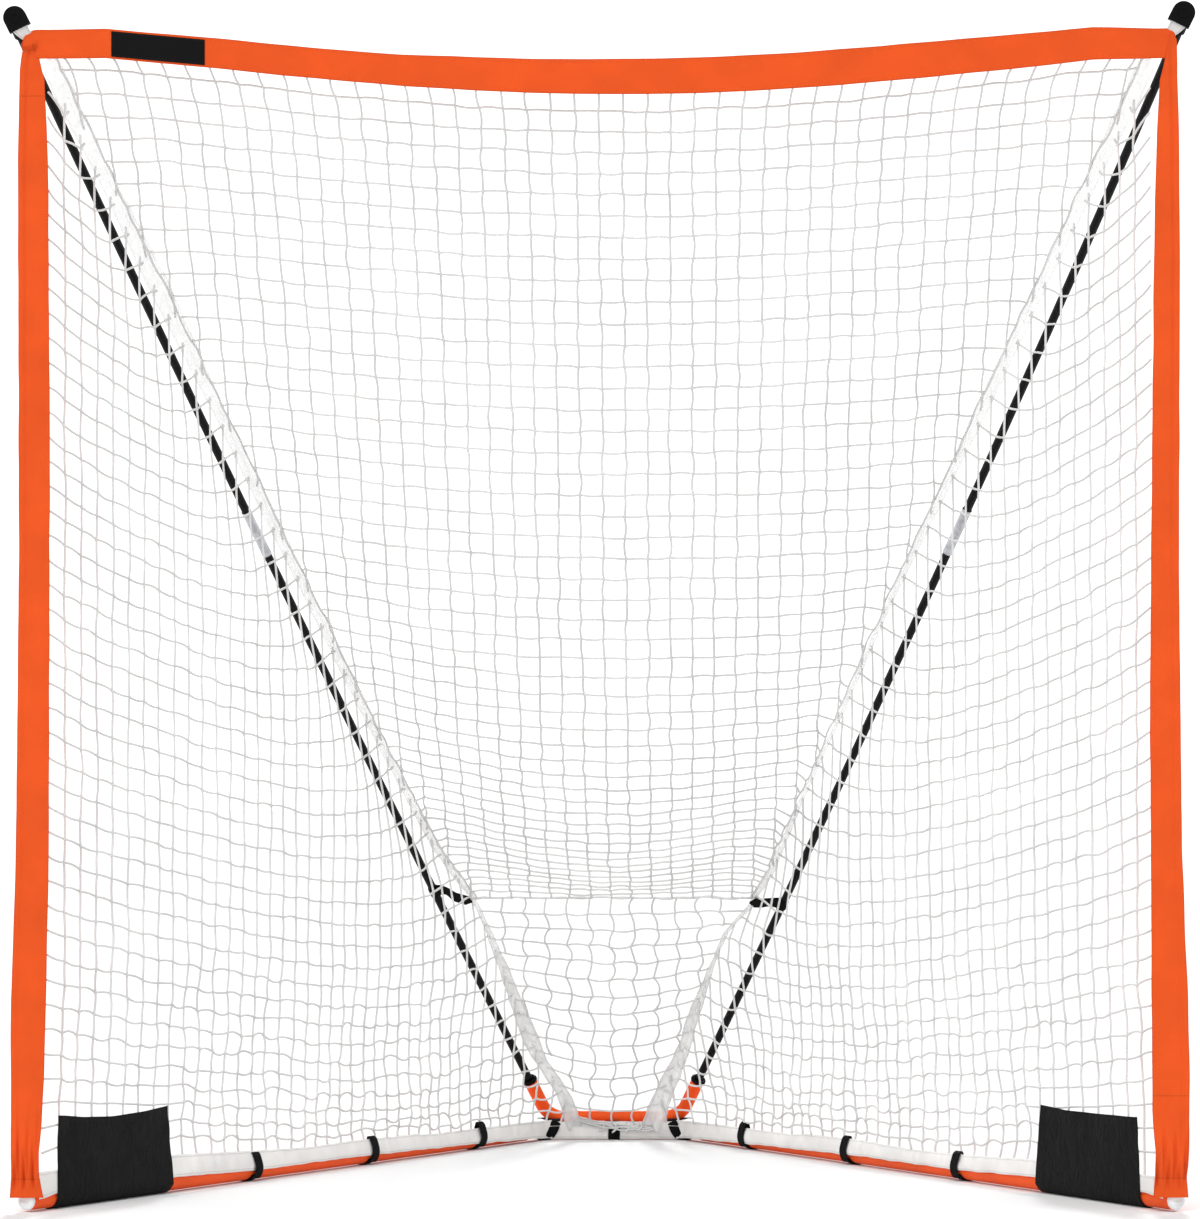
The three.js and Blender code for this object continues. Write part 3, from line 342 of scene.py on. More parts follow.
    @property
    def rear_middle(self) -> float:
        """How far along the axis the goal's middle is."""
        turn = self.bend_angle
        return self.axis_length + self.ground_bend * (turn - 2 * math.tan(turn / 2)) + self.rear_half_width

    @property
    def ground_route(self) -> list[Vector]:
        """The rear ground tube's centre line.

        Returns:
            Its points in the goal's plan, from its right end to its left.
        """
        stub = self.beside(self.rail_length - self.stub_insertion, 0, self.ground_height)
        corner = Vector((self.rear_half_width, self.depth, self.ground_height))
        return rounded_route([stub, corner, FLIP @ corner, FLIP @ stub], self.ground_bend)

    @property
    def socket_corner(self) -> Vector:
        """Where the axes of the socket tube's middle and its right arm would meet.

        Returns:
            The place in the goal's plan.
        """
        reach = self.stub_radius + self.tubes_gap + self.socket_radius
        back, up = reach * math.cos(self.weld_angle), reach * math.sin(self.weld_angle)
        return Vector((self.socket_half_width, self.depth + back, self.ground_height + up))

    @property
    def tip(self) -> Vector:
        """The end of the pole's axis, inside its cap."""
        return Vector((self.half_mouth, 0, self.mouth_height)) + Vector(self.tip_offset)

    @property
    def crown(self) -> Vector:
        """The point that the pole's bow pulls towards."""
        return self.socket_corner.lerp(self.tip, 0.5) + Vector(self.bow_pull)

    @property
    def socket_way(self) -> Vector:
        """The direction in which a pole leaves its socket."""
        return (self.crown - self.socket_corner).normalized()

    @property
    def socket_mouth(self) -> Vector:
        """The middle of the socket's open end."""
        return self.socket_corner + self.socket_way * self.socket_arm

    def bow(self, share: float) -> Vector:
        """Finds a place on the pole's axis.

        Args:
            share: 0 at the socket's mouth and 1 at the tip.

        Returns:
            The place in the goal's plan.
        """
        first = self.socket_mouth.lerp(self.crown, share)
        second = self.crown.lerp(self.tip, share)
        return first.lerp(second, share)

    def bow_way(self, share: float) -> Vector:
        """Finds the direction of the pole's axis.

        Args:
            share: 0 at the socket's mouth and 1 at the tip.

        Returns:
            The unit direction, from the socket to the tip.
        """
        first = self.crown - self.socket_mouth
        second = self.tip - self.crown
        return first.lerp(second, share).normalized()

    @property
    def fold(self) -> Vector:
        """The corner of the net that hangs from the pole, where the roof turns down."""
        return self.bow(self.pull_share) + Vector(self.fold_offset)

    @property
    def fold_along(self) -> float:
        """The fold corner's distance along the rail."""
        offset = self.fold - Vector((self.rail_end, 0, 0))
        return -offset.x * math.sin(self.angle) + offset.y * math.cos(self.angle)

    @property
    def seam(self) -> tuple[tuple[float, float], ...]:
        """The seam between the roof, the rear net and a side net.

        Returns:
            Its three corners, as distance along the rail and height.
        """
        return (
            (self.front, self.band_corner - self.seam_headroom),
            (self.fold_along, self.fold.z),
            (self.axis_length + self.foot_overrun, self.foot_height),
        )

    @property
    def front(self) -> float:
        """Where the side net starts along the rail, just behind the edge strip."""
        inward = self.inset + self.net_lean
        return (self.strip_back + inward * math.sin(self.angle)) / math.cos(self.angle)

    @property
    def inset(self) -> float:
        """How far the side net hangs inside the rail's axis, near the ground."""
        return self.rail_radius - self.net_inset

    def seam_height(self, along: float) -> float:
        """The height of the seam above a place on the rail."""
        return between(self.seam, along)

    def seam_along(self, height: float) -> float:
        """How far along the rail the seam is at a height."""
        return between([(level, along) for along, level in reversed(self.seam)], height)

    def side_point(self, along: float, height: float, side: Side) -> Vector:
        """Finds a place on the surface in which a side net hangs.

        Args:
            along: Distance along the rail.
            height: Height above the ground.
            side: The half of the goal; the place is given on the right one.

        Returns:
            The place in the goal's plan.
        """
        lean = self.net_lean * smooth((height - self.lean_start) / self.lean_reach)
        start = self.axis_length + self.foot_overrun - self.tuck_length
        tuck = self.net_tuck * smooth((along - start) / self.tuck_length)
        near = smooth(1 - (self.seam_along(height) - along) / self.shift_reach)
        slack = between(self.seam_shifts[side], height) * near
        return self.beside(along, self.inset + lean + tuck + slack, height)

    def seam_point(self, share: float, upper: bool, side: Side) -> Vector:
        """Finds a place on a seam.

        Args:
            share: How far down this part of the seam.
            upper: Whether it is the part above the fold.
            side: The half of the goal; the place is given on the right one.

        Returns:
            The place in the goal's plan.
        """
        top, fold, foot = self.seam
        first, last = (top, fold) if upper else (fold, foot)
        return self.side_point(lerp(first[0], last[0], share), lerp(first[1], last[1], share), side)

    def roof_point(self, x: float, share: float) -> Vector:
        """Finds a place on the sagging roof net.

        Args:
            x: Distance from the goal's middle.
            share: 0 at the band and 1 at the fold.

        Returns:
            The place in the goal's plan.
        """
        edge = self.seam_point(share, True, side_of(x))
        across = min(abs(x) / edge.x, 1.0)
        head = self.band_low(math.copysign(across * self.half_mouth, x)) + self.net_rise - self.seam[0][1]
        belly = math.sin(math.pi * max(share, 0.0) ** self.roof_sag_power)
        sag = self.roof_sag * belly * (1 - across**2)
        start = (self.band_back - self.seam_point(0, True, Side.RIGHT).y) * (1 - share)
        drop = self.band_corner - self.band_sag - self.fold.z
        fall = Vector((self.fold.y - self.band_back, drop)).normalized()
        return Vector((x, edge.y + start - sag * fall.y, edge.z + head * (1 - share) - sag * fall.x))

    def rear_point(self, x: float, share: float) -> Vector:
        """Finds a place on the rear net.

        Args:
            x: Distance from the goal's middle.
            share: 0 at the fold and 1 at the ground.

        Returns:
            The place in the goal's plan.
        """
        edge = self.seam_point(share, False, side_of(x))
        slump = self.rear_belly * math.sin(math.pi * share) + self.rear_slump * share
        return Vector((x, edge.y, edge.z - slump * (1 - min(abs(x) / edge.x, 1.0) ** 2)))


BAND_THICKNESS = 2.0
MOUTH = Vector((0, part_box("top_band")[0].y + BAND_THICKNESS * MM, 0))
FLIP = Matrix.Scale(-1, 3, (1, 0, 0))
LAYOUT = Layout()


class Graph:
    """The nodes of one material, or of the world."""

    def __init__(self, name: str, world: bool = False) -> None:
        """Starts an empty material.

        Args:
            name: The material's name.
            world: Whether it is the world instead.
        """
        store = bpy.data.worlds if world else bpy.data.materials
        self.owner = store.new(name)
        self.owner.use_nodes = True
        self.tree = self.owner.node_tree
        self.tree.nodes.clear()

    def node(self, kind: str, settings: dict | None = None, **inputs: object) -> bpy.types.Node:
        """Makes one node.

        Args:
            kind: The node's type, without its ShaderNode start.
            settings: Properties to set first; a ramp's stops go under the name stops.
            **inputs: Socket names with underscores for spaces, and their values or links.

        Returns:
            The node.
        """
        made = self.tree.nodes.new("ShaderNode" + kind)
        for key, value in (settings or {}).items():
            if key == "stops":
                self._stops(made.color_ramp, value)
            else:
                setattr(made, key, value)
        for key, value in inputs.items():
            socket = self._socket(made, key)
            if isinstance(value, Value):
                self.tree.links.new(value.socket, socket)
            elif isinstance(value, bpy.types.NodeSocket):
                self.tree.links.new(value, socket)
            else:
                socket.default_value = value
        return made

    @staticmethod
    def _socket(made: bpy.types.Node, key: str) -> bpy.types.NodeSocket:
        """Finds one of a node's inputs.

        Args:
            made: The node.
            key: The input's name, or its number after a letter i.

        Returns:
            The input.
        """
        if key[0] == "i" and key[1:].isdigit():
            return made.inputs[int(key[1:])]
        return made.inputs[key.replace("_", " ")]

    @staticmethod
    def _stops(ramp: bpy.types.ColorRamp, stops: Sequence[tuple[float, float]]) -> None:
        """Sets a grey ramp's stops.

        Args:
            ramp: The ramp.
            stops: Each stop's position and grey.
        """
        while len(ramp.elements) < len(stops):
            ramp.elements.new(0.5)
        for element, (position, grey) in zip(ramp.elements, stops):
            element.position = position
            element.color = (grey, grey, grey, 1)

    def value(self, socket: bpy.types.NodeSocket) -> "Value":
        """Wraps a socket for maths."""
        return Value(self, socket)

    def coordinates(self, uv: bool = False) -> bpy.types.NodeSocket:
        """The surface's own coordinates: the piece's UV map, or Object."""
        return self.node("TexCoord").outputs["UV" if uv else "Object"]

    def axis(self, name: str, uv: bool = False) -> "Value":
        """One of the surface's coordinates, X, Y or Z, from its UV map or from Object."""
        parts = self.node("SeparateXYZ", Vector=self.coordinates(uv))
        return self.value(parts.outputs[name])

    def grain(self, scale: float, detail: float = 2.0, stretch: Sequence[float] = (1, 1, 1)) -> "Value":
        """Cloudy noise on Object coordinates.

        Args:
            scale: Its scale per metre.
            detail: How many finer layers it has.
            stretch: How much denser it is along each axis.

        Returns:
            The noise, from 0 to 1.
        """
        placed = self.node("Mapping", Vector=self.coordinates(), Scale=tuple(stretch))
        made = self.node("TexNoise", Vector=placed.outputs[0], Scale=scale, Detail=detail)
        return self.value(made.outputs[0])

    def blend(self, mask: "Value", first: Sequence[float], second: Sequence[float]) -> bpy.types.NodeSocket:
        """Blends two colours.

        Args:
            mask: 0 for the first colour and 1 for the second.
            first: A colour or a colour socket.
            second: A colour or a colour socket.

        Returns:
            The colour socket.
        """
        made = self.node("Mix", {"data_type": "RGBA"}, i0=mask)
        for index, colour in ((6, first), (7, second)):
            if isinstance(colour, bpy.types.NodeSocket):
                self.tree.links.new(colour, made.inputs[index])
            else:
                made.inputs[index].default_value = (*colour, 1)
        return made.outputs[2]

    def surface(
        self, height: "Value | None" = None, relief: float = 0.0, **inputs: object
    ) -> bpy.types.Material:
        """Ends the material in its shader.

        Args:
            height: The relief of the surface, from 0 to 1.
            relief: The relief's depth in metres.
            **inputs: The shader's sockets.

        Returns:
            The finished material.
        """
        if height is not None:
            bump = self.node("Bump", Strength=0.6, Distance=relief, Height=height)
            inputs["Normal"] = bump.outputs[0]
        shader = self.node("BsdfPrincipled", **inputs)
        self.node("OutputMaterial", Surface=shader.outputs[0])
        return self.owner


class Value:
    """A number in a shader that plain Python expressions can be written with."""

    def __init__(self, graph: Graph, socket: bpy.types.NodeSocket) -> None:
        """Wraps the socket that holds the number, and keeps its graph."""
        self.graph = graph
        self.socket = socket

    def _math(self, operation: str, *values: object) -> "Value":
        """Adds a Math node.

        Args:
            operation: What it works out.
            *values: Its numbers or values, in order.

        Returns:
            The result as a value.
        """
        inputs = {f"i{i}": value for i, value in enumerate(values)}
        made = self.graph.node("Math", {"operation": operation}, **inputs)
        return Value(self.graph, made.outputs[0])

    def __add__(self, other: object) -> "Value":
        """The sum."""
        return self._math("ADD", self, other)

    __radd__ = __add__

    def __sub__(self, other: object) -> "Value":
        """The difference."""
        return self._math("SUBTRACT", self, other)

    def __rsub__(self, other: object) -> "Value":
        """The difference, with this number second."""
        return self._math("SUBTRACT", other, self)

    def __mul__(self, other: object) -> "Value":
        """The product."""
        return self._math("MULTIPLY", self, other)

    __rmul__ = __mul__

    def __truediv__(self, other: object) -> "Value":
        """The quotient."""
        return self._math("DIVIDE", self, other)

    def __rtruediv__(self, other: object) -> "Value":
        """The quotient, with this number second."""
        return self._math("DIVIDE", other, self)

    def __gt__(self, other: object) -> "Value":
        """1 where it is greater, or else 0."""
        return self._math("GREATER_THAN", self, other)

    def __lt__(self, other: object) -> "Value":
        """1 where it is less, or else 0."""
        return self._math("LESS_THAN", self, other)

    def fraction(self) -> "Value":
        """What is left after the whole number."""
        return self._math("FRACT", self)

    def sine(self) -> "Value":
        """The sine of it, in radians."""
        return self._math("SINE", self)

    def size(self) -> "Value":
        """The number without its sign."""
        return self._math("ABSOLUTE", self)

    def higher(self, other: object) -> "Value":
        """The greater of two."""
        return self._math("MAXIMUM", self, other)

    def lower(self, other: object) -> "Value":
        """The lesser of two."""
        return self._math("MINIMUM", self, other)

    def remap(self, low: float, high: float, out_low: float = 0.0, out_high: float = 1.0) -> "Value":
        """Moves the range from low to high onto out_low to out_high, held at its ends."""
        made = self.graph.node("MapRange", i0=self, i1=low, i2=high, i3=out_low, i4=out_high)
        return Value(self.graph, made.outputs[0])


def shade(colour: Sequence[float], factor: float) -> tuple[float, ...]:
    """Darkens or lightens a colour by a factor."""
    return tuple(min(c * factor, 1.0) for c in colour)


@dataclass(frozen=True)
class PowderCoat:
    """Glossy orange powder coat on steel tube, scuffed where it meets the ground."""

    colour: Colour = (0.84, 0.098, 0.018)

    def build(self) -> bpy.types.Material:
        """Builds the material.

        Returns:
            The material.
        """
        g = Graph("powder_coat")
        cloud = g.grain(9, 3)
        peel = g.grain(700, 1)
        scuffs = (g.grain(160, 4, (1, 1, 6)) > 0.66) * g.axis("Z").remap(0.004, 0.03, 1.0, 0.1)
        base = g.blend(cloud.remap(0.3, 0.7), shade(self.colour, 0.9), shade(self.colour, 1.08))
        worn = g.blend(scuffs * 0.5, base, shade(self.colour, 0.55))
        rough = cloud * 0.16 + scuffs * 0.25 + 0.36
        return g.surface(peel, 0.00015, Base_Color=worn, Roughness=rough, Specular_IOR_Level=0.07)


@dataclass(frozen=True)
class Woven:
    """Plain-woven fabric with a hem and a sewn line along its long edges, and painted shade in its folds and
    grooves.
    """

    name: str
    colour: Colour
    width: float
    thread: float = 1.3
    pitch: float = 0.0011
    stitch_inset: float = 0.0045
    # Width in metres of the painted shade along each folded long edge.
    hem: float = 0.0
    # Cross seams and creases each get a groove in the bump and a line of painted shade.
    cross_seams: tuple[float, ...] = ()
    creases: tuple[float, ...] = ()
    mottle: float = 0.07
    specular: float = 0.2
    alpha: tuple[float, float] = (1.0, 1.0)
    relief: float = 0.0006
    roughness: float = 0.8
    # Depth of the wrinkle bump; when it is set, the folds also get painted shade.
    wrinkle: float = 0.0

    def build(self) -> bpy.types.Material:
        """Builds the material; the piece's UV map is in metres along and across it.

        Returns:
            The material.
        """
        g = Graph(self.name)
        along, across = (g.axis(name, True) for name in "XY")
        turn = 2 * math.pi / self.pitch
        weave = ((along * turn).sine() * (across * turn).sine()).remap(-1.0, 1.0)
        cloud, fuzz = g.grain(14, 3), g.grain(420, 2)
        low, high = shade(self.colour, 1 - self.mottle), shade(self.colour, 1 + self.mottle)
        base = g.blend(cloud.remap(0.3, 0.7), low, high)
        base = g.blend(weave * 0.18, base, shade(self.colour, 0.72))
        rim = across.lower(self.width - across)
        # The sewn groove at the stitch inset, the cross seams and the creases: a groove in the bump and a
        # line of painted shade.
        line = (rim - self.stitch_inset).size() < 0.0007
        for place in self.cross_seams:
            line = line.higher((along - place).size() < 0.0009)
        for place in self.creases:
            line = line.higher((across - place).size() < 0.0008)
        stitches = ((rim - self.stitch_inset).size() < 0.0005) * ((along / 0.0042).fraction() < 0.7)
        # Painted shade: the grooves and creases are darkened.
        base = g.blend(line * 0.5, base, shade(self.colour, 0.6))
        base = g.blend(stitches, base, shade(self.colour, self.thread))
        # Painted shade: the rim of the folded hem is darkened as if it lay in the fold's shadow.
        base = g.blend((rim < self.hem) * 0.55, base, shade(self.colour, 0.62))
        height = weave * 0.5 + fuzz * 0.35 - line * 0.9 + stitches * 0.9
        if self.wrinkle:
            # Painted shade: the wrinkle folds are darkened as well as dented into the bump.
            fold = (g.grain(42, 4, (1, 1, 0.7)) - 0.5).size().remap(0.0, 0.09, 1.0, 0.0)
            base = g.blend(fold * 0.3, base, shade(self.colour, 0.6))
            height = height - fold * self.wrinkle
        extra = {}
        if self.alpha[0] < 1:
            extra["Alpha"] = along.remap(1.9, 2.2, *self.alpha) + weave * 0.12 + cloud * 0.1
        return g.surface(
            height,
            self.relief,
            Base_Color=base,
            Roughness=fuzz * 0.14 + self.roughness,
            Specular_IOR_Level=self.specular,
            **extra,
        )


@dataclass(frozen=True)
class Cordage:
    """Light braided net cord."""

    colour: Colour = (0.655, 0.655, 0.65)

    def build(self) -> bpy.types.Material:
        """Builds the material.

        Returns:
            The material.
        """
        g = Graph("net_cord")
        strand, cloud = g.grain(650, 2), g.grain(11, 2)
        base = g.blend(cloud.remap(0.3, 0.7), shade(self.colour, 0.88), shade(self.colour, 1.06))
        base = g.blend(strand.remap(0.45, 0.75, 0.0, 0.35), base, shade(self.colour, 0.66))
        rough = strand * 0.2 + 0.72
        return g.surface(strand, 0.0006, Base_Color=base, Roughness=rough, Specular_IOR_Level=0.2)


@dataclass(frozen=True)
class Fibreglass:
    """Smooth black resin with fine streaks along the rod."""

    colour: Colour = (0.003, 0.003, 0.0034)

    def build(self) -> bpy.types.Material:
        """Builds the material.

        Returns:
            The material.
        """
        g = Graph("fibreglass")
        streak, cloud = g.grain(300, 3, (1, 0.15, 0.15)), g.grain(6, 2)
        base = g.blend(streak.remap(0.4, 0.7), self.colour, shade(self.colour, 1.9))
        rough = cloud * 0.16 + streak * 0.14 + 0.3
        return g.surface(streak, 0.0001, Base_Color=base, Roughness=rough, Specular_IOR_Level=0.11)


@dataclass(frozen=True)
class Moulding:
    """Moulded plastic with a fine grain."""

    name: str
    colour: Colour
    roughness: float = 0.42
    specular: float = 0.3
    depth: float = 0.00012
    translucency: float = 0.0

    def build(self) -> bpy.types.Material:
        """Builds the material.

        Returns:
            The material.
        """
        g = Graph(self.name)
        grain, cloud = g.grain(1500, 2), g.grain(60, 3)
        base = g.blend(cloud.remap(0.35, 0.7), self.colour, shade(self.colour, 1.25))
        return g.surface(
            grain,
            self.depth,
            Base_Color=base,
            Roughness=cloud * 0.2 + self.roughness - 0.08,
            Specular_IOR_Level=self.specular,
            Subsurface_Weight=self.translucency,
            Subsurface_Radius=(0.004, 0.004, 0.004),
        )


@dataclass(frozen=True)
class PlatedSteel:
    """Bright plated steel with fine turned lines and handling marks."""

    colour: Colour = (0.55, 0.56, 0.59)

    def build(self) -> bpy.types.Material:
        """Builds the material.

        Returns:
            The material.
        """
        g = Graph("plated_steel")
        lines, marks = g.grain(220, 3, (1, 5, 5)), g.grain(90, 4)
        base = g.blend(marks.remap(0.35, 0.7), shade(self.colour, 0.72), self.colour)
        rough = marks * 0.22 + lines * 0.1 + 0.16
        return g.surface(lines, 0.00008, Base_Color=base, Metallic=1.0, Roughness=rough)


@dataclass(frozen=True)
class HookTape:
    """Black hook-and-loop tape: a ribbed ground with a fuzzy pile."""

    name: str
    rib: float = 0.0016
    colour: Colour = (0.0045, 0.0045, 0.005)

    def build(self) -> bpy.types.Material:
        """Builds the material.

        Returns:
            The material.
        """
        g = Graph(self.name)
        ribs = (g.axis("Y", True) * (2 * math.pi / self.rib)).sine().remap(-1.0, 1.0)
        pile = g.grain(900, 3)
        base = g.blend(pile.remap(0.4, 0.7), shade(self.colour, 0.7), shade(self.colour, 1.6))
        height = ribs * 0.4 + pile * 0.6
        return g.surface(height, 0.0008, Base_Color=base, Roughness=pile * 0.15 + 0.8, Specular_IOR_Level=0.1)


ORANGE = (0.69, 0.078, 0.0095)
BLACK = (0.005, 0.005, 0.0056)
CREAM = (0.85, 0.84, 0.82)
SHEER = (0.89, 0.89, 0.885)
PANEL_BLACK = (0.0042, 0.0042, 0.0046)
CAP_BLACK = (0.0012, 0.0012, 0.0014)
GREY = (0.64, 0.63, 0.62)
MILKY = (0.62, 0.64, 0.65)

MATERIALS: dict[str, bpy.types.Material] = {
    "powder": PowderCoat().build(),
    "band": Woven("band_fabric", ORANGE, 0.053, hem=0.0017).build(),
    "left_strip": Woven("left_strip_fabric", ORANGE, 0.054, hem=0.0014, cross_seams=(0.030, 1.783)).build(),
    "right_strip": Woven("right_strip_fabric", ORANGE, 0.054, hem=0.0014, cross_seams=(0.031, 0.162)).build(),
    "panel": Woven(
        "panel_fabric", PANEL_BLACK, 0.2187, 2.4, stitch_inset=0.006, mottle=0.4, specular=0.1,
        creases=(0.108,), roughness=0.6, wrinkle=2.2,
    ).build(),
    "label": Woven("label_fabric", BLACK, 0.0415, 2.4, stitch_inset=0.0025, specular=0.1).build(),
    "skirt": Woven("skirt_fabric", CREAM, 0.036, 0.8, 0.0014, 0.004).build(),
    "tape": Woven(
        "tape_fabric", SHEER, 0.030, 0.8, 0.0016, 0.003, 0.0013, alpha=(0.30, 0.56), wrinkle=2.0
    ).build(),
    "webbing": Woven("tab_webbing", GREY, 0.026, 0.8, 0.002, 0.003).build(),
    "pull": HookTape("pull_webbing", 0.0024).build(),
    "hook": HookTape("hook_tape").build(),
    "cord": Cordage().build(),
    "fibreglass": Fibreglass().build(),
    "black_plastic": Moulding("black_moulding", CAP_BLACK, specular=0.08).build(),
    "pale_plastic": Moulding("pale_moulding", MILKY, 0.3, 0.5, 0.0001, 0.2).build(),
    "steel": PlatedSteel().build(),
}


def dress(node: str, material: str) -> None:
    """Gives a solid that stays a better finish.

    Args:
        node: The solid's name.
        material: The key of its material.
    """
    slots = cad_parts[node].data.materials
    slots.clear()
    slots.append(MATERIALS[material])


def piece(
    name: str,
    mesh: bpy.types.Mesh,
    material: str,
    nodes: Iterable[str] = (),
    body: str = "goal",
) -> bpy.types.Object:
    """Puts one finished mesh into the scene, on its body.

    Args:
        name: The piece's name.
        mesh: Its mesh, in the frame's metres.
        material: The key of its material.
        nodes: The solids that it stands for.
        body: The body that it moves with.

    Returns:
        The object.
    """
    made = bpy.data.objects.new(name, mesh)
    bpy.context.scene.collection.objects.link(made)
    mesh.materials.clear()
    mesh.materials.append(MATERIALS[material])
    mesh.polygons.foreach_set("use_smooth", [True] * len(mesh.polygons))
    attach(made, body)
    if nodes:
        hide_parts(*nodes)
    log.info("%s: %d faces", name, len(mesh.polygons))
    return made


def to_mesh(bm: bmesh.types.BMesh, name: str, outwards: bool = True) -> bpy.types.Mesh:
    """Ends a bmesh as a mesh.

    Args:
        bm: The bmesh, which is freed.
        name: The mesh's name.
        outwards: Whether its faces are turned to point outwards.

    Returns:
        The mesh.
    """
    if outwards:
        bmesh.ops.recalc_face_normals(bm, faces=bm.faces)
    mesh = bpy.data.meshes.new(name)
    bm.to_mesh(mesh)
    bm.free()
    return mesh


def thicken(made: bpy.types.Object, thickness: float, rounding: float = 0.0) -> None:
    """Gives a sheet its thickness and, where asked, a soft edge.

    Args:
        made: The sheet's object.
        thickness: The thickness in millimetres, half of it on each side.
        rounding: The radius of the soft edge in millimetres, or 0 for none.
    """
    wall = made.modifiers.new("thickness", "SOLIDIFY")
    wall.thickness = thickness * MM
    wall.offset = 0
    wall.use_even_offset = False
    if rounding:
        soft = made.modifiers.new("edge", "BEVEL")
        soft.width = rounding * MM
        soft.segments = 2
        soft.limit_method = "ANGLE"


def sheet_mesh(
    name: str,
    across: int,
    along: int,
    size: tuple[float, float],
    place: Place,
    side: Side = Side.RIGHT,
) -> bpy.types.Mesh:
    """Bends a flat grid to a surface, with a UV map in metres.

    Args:
        name: The mesh's name.
        across: Faces across the width.
        along: Faces along the length.
        size: The flat width and length in millimetres.
        place: Gives the place in the goal's plan for a share across and a share along.
        side: The half that it is made on.

    Returns:
        The mesh.
    """
    bm = bmesh.new()
    layer = bm.loops.layers.uv.new("UVMap")
    bmesh.ops.create_grid(bm, x_segments=across, y_segments=along, size=0.5)
    for face in bm.faces:
        for loop in face.loops:
            u, v = loop.vert.co.x + 0.5, loop.vert.co.y + 0.5
            loop[layer].uv = (v * size[1] * MM, u * size[0] * MM)
    for vert in bm.verts:
        vert.co = LAYOUT.at(place(vert.co.x + 0.5, vert.co.y + 0.5), side)
    if side is Side.LEFT:
        bmesh.ops.reverse_faces(bm, faces=bm.faces)
    return to_mesh(bm, name, outwards=False)


def tube_mesh(
    name: str,
    routes: Sequence[Sequence[Vector]],
    radius: float,
    resolution: int,
    side: Side = Side.RIGHT,
    caps: bool = True,
) -> bpy.types.Mesh:
    """Runs round tubes along routes.

    Args:
        name: The mesh's name.
        routes: The tubes' centre lines in the goal's plan.
        radius: The tubes' radius in millimetres.
        resolution: How finely the round is divided.
        side: The half that they are made on.
        caps: Whether the ends are closed.

    Returns:
        The mesh.
    """
    curve = bpy.data.curves.new(name, "CURVE")
    curve.dimensions = "3D"
    curve.bevel_depth = radius * MM
    curve.bevel_resolution = resolution
    curve.use_fill_caps = caps
    for route in routes:
        spline = curve.splines.new("POLY")
        spline.points.add(len(route) - 1)
        flat = [number for point in route for number in (*LAYOUT.at(point, side), 1.0)]
        spline.points.foreach_set("co", flat)
    carrier = bpy.data.objects.new(name, curve)
    bpy.context.scene.collection.objects.link(carrier)
    bpy.context.view_layer.update()
    mesh = bpy.data.meshes.new_from_object(carrier.evaluated_get(bpy.context.evaluated_depsgraph_get()))
    bpy.data.objects.remove(carrier)
    bpy.data.curves.remove(curve)
    return mesh


def turned_mesh(
    name: str,
    profile: Sequence[tuple[float, float]],
    origin: Vector,
    way: Vector,
    side: Side = Side.RIGHT,
    steps: int = 40,
) -> bpy.types.Mesh:
    """Spins a profile round an axis.

    Args:
        name: The mesh's name.
        profile: Corners as radius and distance along the axis, in millimetres; the last joins the first.
        origin: Where the axis starts, in the goal's plan.
        way: The axis's direction.
        side: The half that it is made on.
        steps: How many steps the full turn has.

    Returns:
        The mesh.
    """
    bm = bmesh.new()
    corners = [bm.verts.new((radius, 0, height)) for radius, height in profile]
    edges = [bm.edges.new(pair) for pair in zip(corners, corners[1:] + corners[:1])]
    bmesh.ops.spin(
        bm,
        geom=corners + edges,
        axis=(0, 0, 1),
        cent=(0, 0, 0),
        angle=2 * math.pi,
        steps=steps,
        use_merge=True,
    )
    bmesh.ops.remove_doubles(bm, verts=bm.verts, dist=1e-4)
    turn = Vector((0, 0, 1)).rotation_difference(way).to_matrix()
    for vert in bm.verts:
        vert.co = LAYOUT.at(turn @ vert.co + origin, side)
    return to_mesh(bm, name)


def rounded_route(corners: Sequence[Vector], radius: float, steps: int = 14) -> list[Vector]:
    """Rounds the corners of a route.

    Args:
        corners: The route's ends and the points where its legs would meet.
        radius: The bend's radius.
        steps: How many steps each bend has.

    Returns:
        The points of the rounded route.
    """
    points = [corners[0]]
    for before, corner, after in zip(corners, corners[1:], corners[2:]):
        way, leave = (corner - before).normalized(), (after - corner).normalized()
        turn = way.angle(leave)
        side = (leave - way * way.dot(leave)).normalized()
        centre = corner - way * (radius * math.tan(turn / 2)) + side * radius
        for step in range(steps + 1):
            angle = turn * step / steps
            points.append(centre - side * (radius * math.cos(angle)) + way * (radius * math.sin(angle)))
    return [*points, corners[-1]]


def fine(route: Sequence[Vector], pitch: float) -> list[Vector]:
    """Adds points to a route so that no step is longer than a pitch.

    Args:
        route: The route's points.
        pitch: The longest step.

    Returns:
        The points with others between them.
    """
    points = [route[0]]
    for first, last in zip(route, route[1:]):
        steps = max(1, math.ceil((last - first).length / pitch))
        points.extend(first.lerp(last, (i + 1) / steps) for i in range(steps))
    return points


def join(meshes: Sequence[bpy.types.Mesh], name: str) -> bpy.types.Mesh:
    """Joins several meshes into one.

    Args:
        meshes: The meshes, which are removed.
        name: The joined mesh's name.

    Returns:
        The joined mesh.
    """
    bm = bmesh.new()
    for mesh in meshes:
        bm.from_mesh(mesh)
    for mesh in meshes:
        bpy.data.meshes.remove(mesh)
    return to_mesh(bm, name, outwards=False)


